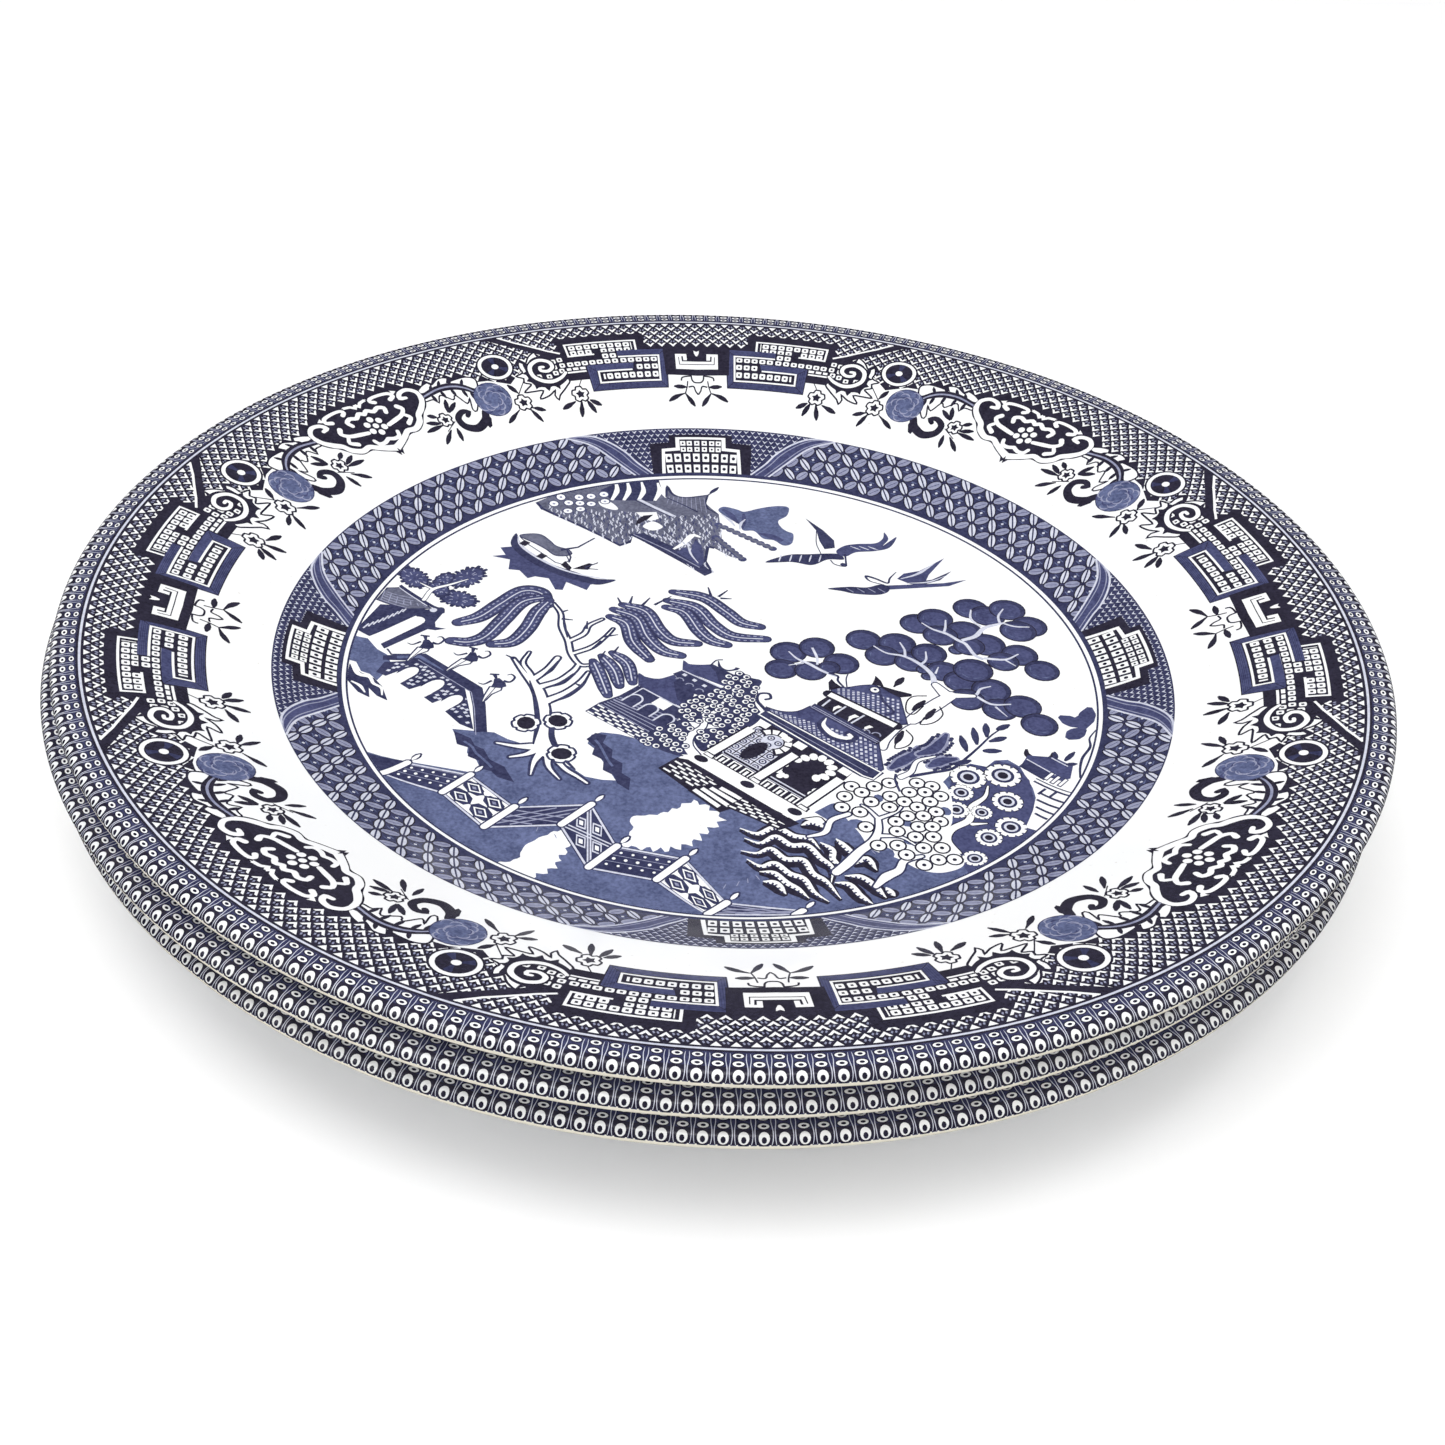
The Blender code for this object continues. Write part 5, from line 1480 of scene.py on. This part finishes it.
def draw_round_trees(d):
    """Tree of round blue leaves, overlapping, with pale twigs that meet in a white trunk."""
    groups = (((30.2, 9.8, 3.7), (37.2, 8.4, 3.9), (33.4, 4, 3.6), (39.2, 1.8, 3.5), (43.4, 4.8, 3.7)),
              ((42.6, 16, 3.7), (46.8, 18, 3.8), (52.4, 13.2, 3.8), (46.9, 11.6, 3.7), (49.4, 6.2, 1.6)),
              ((55.2, 22, 3.8), (58.4, 19.2, 3.8), (63.2, 21.6, 3.9), (66.8, 15.2, 3.8), (64, 13.4, 3.9)),
              ((56.2, 8.2, 4), (52.4, 7.6, 3.3), (62.6, 4.4, 3.8), (58.6, 2, 3.3), (66.2, -1.2, 3.6)),
              ((45.4, -1.6, 3.5), (48.6, -5.2, 3.7), (54.2, -8.2, 4), (51.7, -1.2, 4.1)),
              ((48.6, -11.4, 3.6), (54.8, -14.8, 3.6), (59.6, -13.8, 3.8), (61.8, -19.9, 3.7)),
              ((13.8, 5, 3.8), (20, 6.8, 3.7), (24.4, 1, 3.7), (11.8, -1, 3.4), (17.8, -1.6, 3.3),
               (21.8, -0.4, 2.2)), ((41.8, -3.4, 1.3), (41.2, -1, 1.4)))
    for group in groups:
        for x, y, size in group:
            d.rings((x, y), ("black", size + 0.14, 22), ("navy", size - 0.1, 22))
            d.disc("deep", (x - 0.3, y - 0.35), size - 0.75, 20)
            for turn in (150, 205, 260):
                d.stroke("wash", arc((x, y), size * 0.68, turn, turn + 38, 5), (0.1, 0.3, 0.1))
    twigs = [([(32, 7.6), (34.4, 5), (38, 3.8), (41, 0.8), (42.8, -2.8), (43, -6.6), (45, -9.8)],
              (0.3, 0.5, 0.7, 0.9, 1, 1.6, 2.2)),
             ([(37.8, 9), (38.4, 6.2), (38.2, 4)], (0.3, 0.5, 0.6)),
             ([(42.8, 5.6), (42.4, 2.6), (41, 0.8)], (0.3, 0.5, 0.6)),
             ([(44.6, 0), (43.6, -2.4)], (0.2, 0.5)),
             ([(43.6, 16.4), (45.6, 14), (48.4, 12.2), (50.4, 9.8), (51.8, 8.4), (53, 4.4), (54.6, 2.8)],
              (0.3, 0.5, 0.8, 0.8, 0.8, 0.8, 0.9)),
             ([(49, 17.6), (48.4, 14.4), (47.8, 12.8)], (0.3, 0.5, 0.6)),
             ([(61.2, 16.4), (57, 14.6), (54.4, 11.4), (51.2, 9.8)], (0.6, 1, 1.1, 0.9)),
             ([(62.4, 22), (60.8, 19.2), (60.6, 16.6)], (0.3, 0.5, 0.6)),
             ([(55.2, 21.6), (54.6, 18), (56.2, 15)], (0.3, 0.6, 0.6)),
             ([(66.8, 15), (63.6, 15.2), (61, 16.6)], (0.3, 0.5, 0.5)),
             ([(62.4, 4.8), (59.2, 2.8), (54.8, 3.2)], (0.3, 0.6, 0.8)),
             ([(61, 0.4), (59.2, 2.6)], (0.2, 0.5)),
             ([(54.4, -6.8), (52, -7.8), (50.4, -10), (45.8, -10)], (0.3, 0.6, 0.8, 1.4)),
             ([(57.4, -13), (53.4, -13), (50.6, -10.2)], (0.3, 0.6, 0.7)),
             ([(55.8, -17.2), (54, -13.8)], (0.2, 0.5)),
             ([(13.9, 5.4), (15.4, 2.8), (17.6, 1), (20.4, -1.8), (23, -3.6)], (0.3, 0.5, 0.8, 0.7, 0.5)),
             ([(19, 6.8), (19.6, 3.2), (19.4, 0.6)], (0.5, 0.6, 0.5)),
             ([(13.4, 0.4), (16.6, 1.2)], (0.2, 0.5))]
    for points, widths in twigs:
        d.curve("pale", points, widths)
    boughs(d, [([(45.6, -10), (42.4, -12.8), (38.6, -16.2), (36.4, -18.4)], (2.4, 2.9, 2.9, 2.5)),
               ([(43, -6.4), (44.4, -9.4)], (1.5, 2.4)), ([(50.2, -10.2), (45, -10)], (0.9, 1.8)),
               ([(36, -19), (33.6, -20.8), (30.4, -24.2), (29.2, -27.4)], (0.6, 0.9, 1.9, 1.4))], 0.3)
    for outline in ([(40.6, -10.2), (37.8, -10.4), (36.2, -12.2), (35.6, -15.6), (37, -16.4),
                     (39.4, -13.6)],
                    [(42.6, -13.8), (42.8, -16.6), (40.6, -19.2), (37.8, -19.8), (39, -17.4)],
                    [(34.6, -21.6), (35.6, -24.2), (34.2, -26.8), (31.6, -27.6), (32.6, -24.4)]):
        d.curve("black", outline, 0.32)
    leaves(d, "black", (((40, -11.8), (36.8, -15.2)), ((41.6, -14.6), (39, -18.2)),
                        ((34, -22), (31.8, -26.2))), 1.4)


def draw_right_shore(d):
    """Sprigs and fern leaves beside the pavilion, and a small pagoda on steps at the right."""
    stem = [(33, -36.4), (37.6, -35.2), (41.8, -34), (45.2, -30.6), (48.4, -27), (51.6, -23.2),
            (54.8, -20.4)]
    d.curve("navy", stem, (0.9, 0.8, 0.7, 0.6, 0.5, 0.4, 0.3))
    leaves(d, "navy", (((45.6, -28.6), (45.2, -23.4)), ((48, -26.4), (48.2, -20.8)),
                       ((50.4, -24), (51, -19.4)), ((52.8, -21.6), (55.8, -19.8)),
                       ((50.6, -25.4), (54.4, -24)), ((48.8, -28.4), (52.6, -28.4)),
                       ((42.6, -32.6), (46, -31.4))), 1.5)
    ferns = ([(30, -33.8), (32.8, -31.4), (35, -29.6), (36.2, -27.4)],
             [(36, -29.4), (39, -28), (41, -25.6), (42.4, -23.2)],
             [(37.6, -33.2), (40.2, -31.6), (43, -31)])
    for fern in ferns:
        line = smooth(fern, gap=0.85)
        d.curve("tint", fern, (2, 3.8, 3.4, 1.6), caps=True)
        d.curve("deep", fern, (1, 2.4, 2, 0.8), caps=True)
        for index, ((x, y), following) in enumerate(zip(line, line[1:])):
            nx, ny = sideways((x, y), following)
            reach = 2 if 1 < index < len(line) - 3 else 1.4
            for side in (-1, 1):
                d.disc("navy", (x + side * reach * nx, y + side * reach * ny), 0.48, 8)
    boughs(d, [([(31.4, -36.6), (33.6, -35), (35.4, -31.6), (39, -30.2)], (1.2, 1, 0.7, 0.4))], 0.26)
    d.curve("navy", [(30.6, -41), (30.2, -37.6), (30.6, -35.6)], 0.5)
    leaves(d, "deep", (((71, -21), (66.4, -17)), ((70.6, -21.4), (66.4, -24.4)),
                       ((70.4, -20.8), (71, -16.8)), ((70.2, -21.6), (73.2, -14.4))), 3.4)
    d.curve("navy", [(72.6, -22.4), (70.8, -24.8), (70.2, -27.8), (68, -31), (66.8, -34.2), (66, -37.6)],
            (0.3, 0.4, 0.6, 0.6, 0.5, 0.4))
    d.curve("black", [(57.6, -27.8), (57.4, -29.6), (59, -31.4), (61.6, -30.6), (62.8, -29)],
            (0.5, 1.4, 1.2, 0.8, 0.8))
    d.fill("deep", [(57.4, -29.8), (62.6, -30.4), (65.6, -33.4), (64.2, -37.4), (62.4, -38), (55.2, -33.4)])
    d.fill("navy", [(55, -33.2), (57, -31.2), (61.2, -36), (59, -37.6)])
    d.stroke("pale", [(62, -30.6), (64.6, -33.4)], 0.3)
    d.stroke("pale", [(57, -31), (61.6, -36)], 0.28)
    leaves(d, "navy", (((62.8, -31), (63, -28.6)), ((64.4, -31.6), (67, -28.8)),
                       ((64.4, -32.8), (66.6, -32.8))), 1.1)
    for x, y in ((60.4, -36.2), (61.4, -37.4), (62.6, -38.4)):
        d.stroke("navy", [(x - 1.2, y - 1.2), (x + 0.9, y + 0.9)], 1)
        d.stroke(CLEAR, [(x - 1, y - 1), (x + 0.8, y + 0.8)], 0.56)
    d.fill(CLEAR, [(57.2, -38), (63.4, -44), (61.4, -46.4), (54.2, -53.2), (52.6, -51.8), (55, -46.8),
                   (57, -41)])
    d.stroke("navy", [(57, -37.8), (63.6, -44)], 0.5)
    d.stroke("navy", [(57.6, -37), (64.4, -43.2)], 0.3)
    for start, end in (((57.6, -41.6), (61.6, -45.6)), ((56.4, -43.4), (60.2, -47.2)),
                       ((55.8, -45.6), (58.6, -48.8)), ((55.2, -47.6), (57, -50)),
                       ((57, -41.8), (58.8, -40.2)), ((58.8, -43), (60.6, -41.4))):
        d.stroke("navy", [start, end], 0.55)


def centre_mosaic():
    """The scene within the white ring."""
    d = Drawing()
    draw_water_and_ground(d)
    draw_island(d)
    draw_birds(d)
    draw_boat(d)
    draw_left_house(d)
    draw_bridge(d)
    draw_willow(d)
    draw_back_building(d)
    draw_round_trees(d)
    draw_rapids(d)
    draw_daisies(d)
    draw_disc_tree(d)
    draw_berry_tree(d)
    draw_terrace(d)
    draw_pavilion_walls(d)
    draw_pavilion_roofs(d)
    draw_right_shore(d)
    draw_fence(d)
    shoulder = (68.4, 69.6, 71, 72.4, 73.8, 75)        # where the face starts to rise
    region, *rings = [arc((0, 0), radius, 0, 358, 179) for radius in (CENTRE_RADIUS, *shoulder)]
    return d.mosaic(region, longest=3, grid=sum(rings, []))


# ---------------------------------------------------------------------------------------------
# The whole print

def wrapped(arc_mm, start, way):
    """A mapping from strip points to plan points, that starts at an angle and runs one way or back."""
    def mapping(flat):
        """Plan points of an array of strip points."""
        angle = np.radians(start) + way * np.radians(flat[:, 0] / arc_mm)
        return np.column_stack([flat[:, 1] * np.cos(angle), flat[:, 1] * np.sin(angle)])
    return mapping


def printed_tiles():
    """All ink triangles of one plate, by ink."""
    tiles = Tiles()
    eighth = border_mosaic()
    for quarter in range(4):
        for way in (1, -1):
            tiles.add(eighth, wrapped(BORDER_MM, 90 * quarter - 90, way), flipped=way > 0)
    bead = bead_mosaic()
    for index in range(BEADS):
        tiles.add(bead, wrapped(math.radians(BEAD_ARC), 360.0 * (index + 0.5) / BEADS, 1), True)
    quarter_band = band_mosaic()
    for start, way in ((-90, 1), (-90, -1), (90, -1), (90, 1)):
        tiles.add(quarter_band, wrapped(BAND_MM, start, way), flipped=way > 0)
    tiles.add(centre_mosaic(), lambda flat: flat)
    return tiles.joined()


# ---------------------------------------------------------------------------------------------
# Meshes

def mesh_from(name, points, faces, normals=None, material=None):
    """A smooth mesh from points in millimetres, with its own normals where they are known."""
    mesh = bpy.data.meshes.new(name)
    mesh.from_pydata((points * MM).tolist(), [], faces.tolist() if hasattr(faces, "tolist") else faces)
    mesh.shade_smooth()
    if normals is not None:
        mesh.normals_split_custom_set_from_vertices(normals.tolist())
    if material is not None:
        mesh.materials.append(material)
    mesh.update()
    return mesh


def body_mesh(glaze, biscuit, segments=360, crease=40.0):
    """The turned body, and apart from it the bare land of the foot ring."""
    section, land = plate_section()
    turn = np.arange(segments) * 2.0 * math.pi / segments
    ring = np.column_stack([np.cos(turn), np.sin(turn)])
    points = np.concatenate([np.column_stack([ring * r, np.full(segments, z)]) for r, z in section])
    index = np.arange(segments)
    after = (index + 1) % segments
    faces = []
    for level in range(len(section) - 1):
        a, b = level * segments, (level + 1) * segments
        if level == land:
            bare = np.column_stack([index, index + segments, after + segments, after])
            land_mesh = mesh_from("foot_land", points[a:b + segments], bare, material=biscuit)
        else:
            faces += np.column_stack([a + index, b + index, b + after, a + after]).tolist()
    last = (len(section) - 1) * segments
    faces.append(index.tolist())
    faces.append((last + index[::-1]).tolist())
    mesh = mesh_from("plate_body", points, faces, material=glaze)
    mesh.set_sharp_from_angle(angle=math.radians(crease))
    return mesh, land_mesh


# ---------------------------------------------------------------------------------------------
# Materials

def new_material(name):
    """A material with its node tree and its Principled shader."""
    material = bpy.data.materials.new(name)
    material.use_nodes = True
    return material, material.node_tree, material.node_tree.nodes["Principled BSDF"]


def add_node(tree, kind, **values):
    """A node with its sockets and its settings given by name."""
    node = tree.nodes.new(kind)
    for key, value in values.items():
        if key in node.inputs:
            node.inputs[key].default_value = value
        else:
            setattr(node, key, value)
    return node


def noise(tree, scale, detail=3.0, roughness=0.55):
    """Noise over the object's own coordinates, scale in features per metre."""
    where = add_node(tree, "ShaderNodeTexCoord")
    grain = add_node(tree, "ShaderNodeTexNoise", Scale=scale, Detail=detail, Roughness=roughness)
    tree.links.new(where.outputs["Object"], grain.inputs["Vector"])
    return grain.outputs["Fac"]


def ramp(tree, factor, stops):
    """Colour ramp through (position, colour) stops."""
    node = add_node(tree, "ShaderNodeValToRGB")
    band = node.color_ramp
    for position, colour in stops[2:]:
        band.elements.new(position)
    for element, (position, colour) in zip(band.elements, stops):
        element.position = position
        element.color = (*colour, 1.0)
    tree.links.new(factor, node.inputs["Fac"])
    return node.outputs["Color"]


def number_range(tree, factor, low, high, from_low=0.3, from_high=0.7):
    """The factor mapped from one range of numbers to another, and kept within it."""
    node = add_node(tree, "ShaderNodeMapRange")
    for socket, value in zip(node.inputs[1:5], (from_low, from_high, low, high)):
        socket.default_value = value
    tree.links.new(factor, node.inputs["Value"])
    return node.outputs["Result"]


def distance_out(tree):
    """Distance from the object's own Z axis, in metres."""
    where = add_node(tree, "ShaderNodeTexCoord")
    flat = add_node(tree, "ShaderNodeVectorMath", operation="MULTIPLY")
    flat.inputs[1].default_value = (1.0, 1.0, 0.0)
    tree.links.new(where.outputs["Object"], flat.inputs[0])
    reach = add_node(tree, "ShaderNodeVectorMath", operation="LENGTH")
    tree.links.new(flat.outputs["Vector"], reach.inputs[0])
    return reach.outputs["Value"]


def glaze_finish(tree, shader):
    """Gloss shared by bare and printed glaze: slight roughness changes and a faint ripple."""
    rough = number_range(tree, noise(tree, 90.0), 0.07, 0.13)
    tree.links.new(rough, shader.inputs["Roughness"])
    bump = add_node(tree, "ShaderNodeBump", Strength=0.35, Distance=0.00002)
    tree.links.new(noise(tree, 260.0, 2.0), bump.inputs["Height"])
    tree.links.new(bump.outputs["Normal"], shader.inputs["Normal"])
    shader.inputs["IOR"].default_value = 1.5


def glaze_material():
    """White glaze over china: faint cool clouding, rare pinholes, cream where it thins at the edge."""
    material, tree, shader = new_material("white_glaze")
    clouds = ramp(tree, noise(tree, 28.0), [(0.3, (0.90, 0.91, 0.93)), (0.7, (0.95, 0.95, 0.945))])
    specks = ramp(tree, noise(tree, 900.0, 1.0), [(0.74, (1.0, 1.0, 1.0)), (0.82, (0.62, 0.58, 0.52))])
    mixed = add_node(tree, "ShaderNodeMix", data_type="RGBA", blend_type="MULTIPLY")
    mixed.inputs["Factor"].default_value = 0.5
    tree.links.new(clouds, mixed.inputs[6])
    tree.links.new(specks, mixed.inputs[7])
    where = add_node(tree, "ShaderNodeTexCoord")
    height = add_node(tree, "ShaderNodeSeparateXYZ")
    tree.links.new(where.outputs["Object"], height.inputs[0])
    outermost = [(PLATE_RADIUS - short) * MM for short in (2.6, 1.6)]   # the cream fades in here
    below_roll = (23.3 * MM, 23.9 * MM)                                # and out again here
    near = number_range(tree, distance_out(tree), 0.0, 1.0, *outermost)
    under = number_range(tree, height.outputs["Z"], 1.0, 0.0, *below_roll)
    both = add_node(tree, "ShaderNodeMath", operation="MULTIPLY")
    tree.links.new(near, both.inputs[0])
    tree.links.new(under, both.inputs[1])
    cream = add_node(tree, "ShaderNodeMix", data_type="RGBA")
    tree.links.new(both.outputs[0], cream.inputs["Factor"])
    tree.links.new(mixed.outputs[2], cream.inputs[6])
    cream.inputs[7].default_value = (0.9, 0.85, 0.72, 1.0)
    tree.links.new(cream.outputs[2], shader.inputs["Base Color"])
    glaze_finish(tree, shader)
    return material


def biscuit_material():
    """Bare fired clay on the foot ring."""
    material, tree, shader = new_material("bare_biscuit")
    colour = ramp(tree, noise(tree, 600.0, 5.0), [(0.3, (0.62, 0.55, 0.44)), (0.7, (0.8, 0.75, 0.66))])
    tree.links.new(colour, shader.inputs["Base Color"])
    shader.inputs["Roughness"].default_value = 0.85
    bump = add_node(tree, "ShaderNodeBump", Strength=0.6, Distance=0.00008)
    tree.links.new(noise(tree, 1500.0, 4.0), bump.inputs["Height"])
    tree.links.new(bump.outputs["Normal"], shader.inputs["Normal"])
    return material


INKS = {  # name: (dark, light) linear colours between which the printed ink varies
    "black": ((0.014, 0.012, 0.024), (0.030, 0.027, 0.050)),
    "navy": ((0.022, 0.024, 0.066), (0.052, 0.056, 0.125)),
    "deep": ((0.040, 0.044, 0.110), (0.080, 0.088, 0.195)),
    "wash": ((0.062, 0.076, 0.160), (0.140, 0.166, 0.310)),
    "grey": ((0.080, 0.084, 0.130), (0.165, 0.172, 0.245)),
    "tint": ((0.215, 0.225, 0.345), (0.340, 0.355, 0.480)),
    "pale": ((0.500, 0.515, 0.630), (0.680, 0.695, 0.780)),
}


def ink_material(ink):
    """Cobalt ink under the glaze: cloudy where it was laid on, and finely stippled."""
    material, tree, shader = new_material("ink_" + ink)
    dark, light = INKS[ink]
    clouds = noise(tree, 240.0, 5.0, 0.65)
    stipple = noise(tree, 1500.0, 2.0, 0.5)
    blend = add_node(tree, "ShaderNodeMix")
    blend.inputs["Factor"].default_value = 0.5
    tree.links.new(clouds, blend.inputs["A"])
    tree.links.new(stipple, blend.inputs["B"])
    colour = ramp(tree, blend.outputs["Result"], [(0.36, dark), (0.64, light)])
    tree.links.new(colour, shader.inputs["Base Color"])
    glaze_finish(tree, shader)
    shader.inputs["Specular IOR Level"].default_value = 0.35
    return material


# ---------------------------------------------------------------------------------------------
# Camera, light and floor

LENS, SENSOR = 46.7, 36.0                      # focal length and film width, in millimetres
SHIFT = 0.0097                                 # sideways, as a share of the film's width
ELEVATION, AZIMUTH, ROLL = [math.radians(turn) for turn in (36.73, 5.65, 3.52)]
AIM = Vector((-5.45, -44.1, 38.3)) * MM        # over the front of the well, level with the rim
DISTANCE = 338.0 * MM
FLOOR_HALF = 1.5                               # metres
FLOOR_FADE = (0.8, 1.45)                       # where the floor starts to fade, and is gone


def make_camera():
    """Camera looking down on the stack from the front, a little from the left, slightly rolled."""
    data = bpy.data.cameras.new("camera")
    data.lens = LENS
    data.sensor_width = SENSOR
    data.shift_x = SHIFT
    data.clip_start = 0.01
    camera = bpy.data.objects.new("camera", data)
    bpy.context.scene.collection.objects.link(camera)
    level = math.cos(ELEVATION)
    forward = Vector((math.sin(AZIMUTH) * level, math.cos(AZIMUTH) * level, -math.sin(ELEVATION)))
    camera.matrix_world = (Matrix.Translation(AIM - forward * DISTANCE)
                           @ Matrix.Rotation(-AZIMUTH, 4, "Z")
                           @ Matrix.Rotation(math.pi / 2 - ELEVATION, 4, "X")
                           @ Matrix.Rotation(ROLL, 4, "Z"))
    bpy.context.scene.camera = camera


def area_light(name, place, size, watts, target=(0.0, 0.0, 0.02), mirrored=True):
    """A soft box at a place, turned to the stack; mirrored says whether the glaze reflects it."""
    data = bpy.data.lights.new(name, "AREA")
    data.shape = "RECTANGLE"
    data.size, data.size_y = size
    data.energy = watts
    light = bpy.data.objects.new(name, data)
    bpy.context.scene.collection.objects.link(light)
    light.location = place
    light.rotation_euler = (Vector(target) - Vector(place)).to_track_quat("-Z", "Y").to_euler()
    light.visible_glossy = mirrored


def make_stage():
    """Pale floor that fades out at its edges, soft boxes above and beside, and a quiet bright world."""
    mesh = bpy.data.meshes.new("floor")
    mesh.from_pydata([(x, y, 0) for x, y in block(FLOOR_HALF, FLOOR_HALF)], [], [(0, 1, 2, 3)])
    floor = bpy.data.objects.new("floor", mesh)
    material, tree, shader = new_material("floor_paper")
    colour = ramp(tree, noise(tree, 3.0), [(0.3, (0.95, 0.95, 0.95)), (0.7, (0.97, 0.97, 0.97))])
    tree.links.new(colour, shader.inputs["Base Color"])
    shader.inputs["Roughness"].default_value = 0.9
    tree.links.new(number_range(tree, distance_out(tree), 1.0, 0.0, *FLOOR_FADE), shader.inputs["Alpha"])
    mesh.materials.append(material)
    bpy.context.scene.collection.objects.link(floor)
    floor.visible_glossy = False
    area_light("key", (-0.2, -0.3, 1.3), (0.9, 0.7), watts=6.0)
    area_light("ceiling", (0.0, 0.2, 2.6), (7.0, 7.0), watts=160.0, mirrored=False)
    area_light("left_box", (-1.3, -0.6, 0.8), (0.9, 0.9), watts=4.5)
    area_light("right_box", (1.3, -0.5, 0.8), (0.9, 0.9), watts=4.0)
    world = bpy.data.worlds.new("world")
    world.use_nodes = True
    background = world.node_tree.nodes["Background"]
    background.inputs["Color"].default_value = (0.96, 0.97, 1.0, 1.0)
    as_light, as_backdrop = 0.12, 1.08         # its strength on the stack, and as the camera sees it
    seen = add_node(world.node_tree, "ShaderNodeLightPath")
    strength = number_range(world.node_tree, seen.outputs["Is Camera Ray"], as_light, as_backdrop,
                            0.0, 1.0)
    world.node_tree.links.new(strength, background.inputs["Strength"])
    bpy.context.scene.world = world
    bpy.context.scene.view_settings.view_transform = "Standard"


# ---------------------------------------------------------------------------------------------
# The stack

def place_piece(name, mesh, plate):
    """One piece of a plate, in place on its CAD solid and riding on its body."""
    low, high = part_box(plate)
    piece = bpy.data.objects.new(name, mesh)
    bpy.context.scene.collection.objects.link(piece)
    piece.location = ((low.x + high.x) / 2, (low.y + high.y) / 2, low.z)
    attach(piece, plate)
    return piece


def main():
    """Build the stage and the three plates, each a body, a bare foot land and one piece per ink."""
    make_camera()
    make_stage()
    body, foot_land = body_mesh(glaze_material(), biscuit_material())
    for plate in TURNS:
        piece = place_piece(plate + "_body", body, plate)
        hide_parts(plate)
        place_piece(plate + "_foot_land", foot_land, plate)
    for ink, (flat, cells) in printed_tiles().items():
        material = ink_material(ink)
        points, normals = lay_on_face(flat)
        for plate, degrees in TURNS.items():
            turn = np.array(Matrix.Rotation(math.radians(degrees), 3, "Z")).T
            name = plate + "_ink_" + ink
            place_piece(name, mesh_from(name, points @ turn, cells, normals @ turn, material), plate)


main()
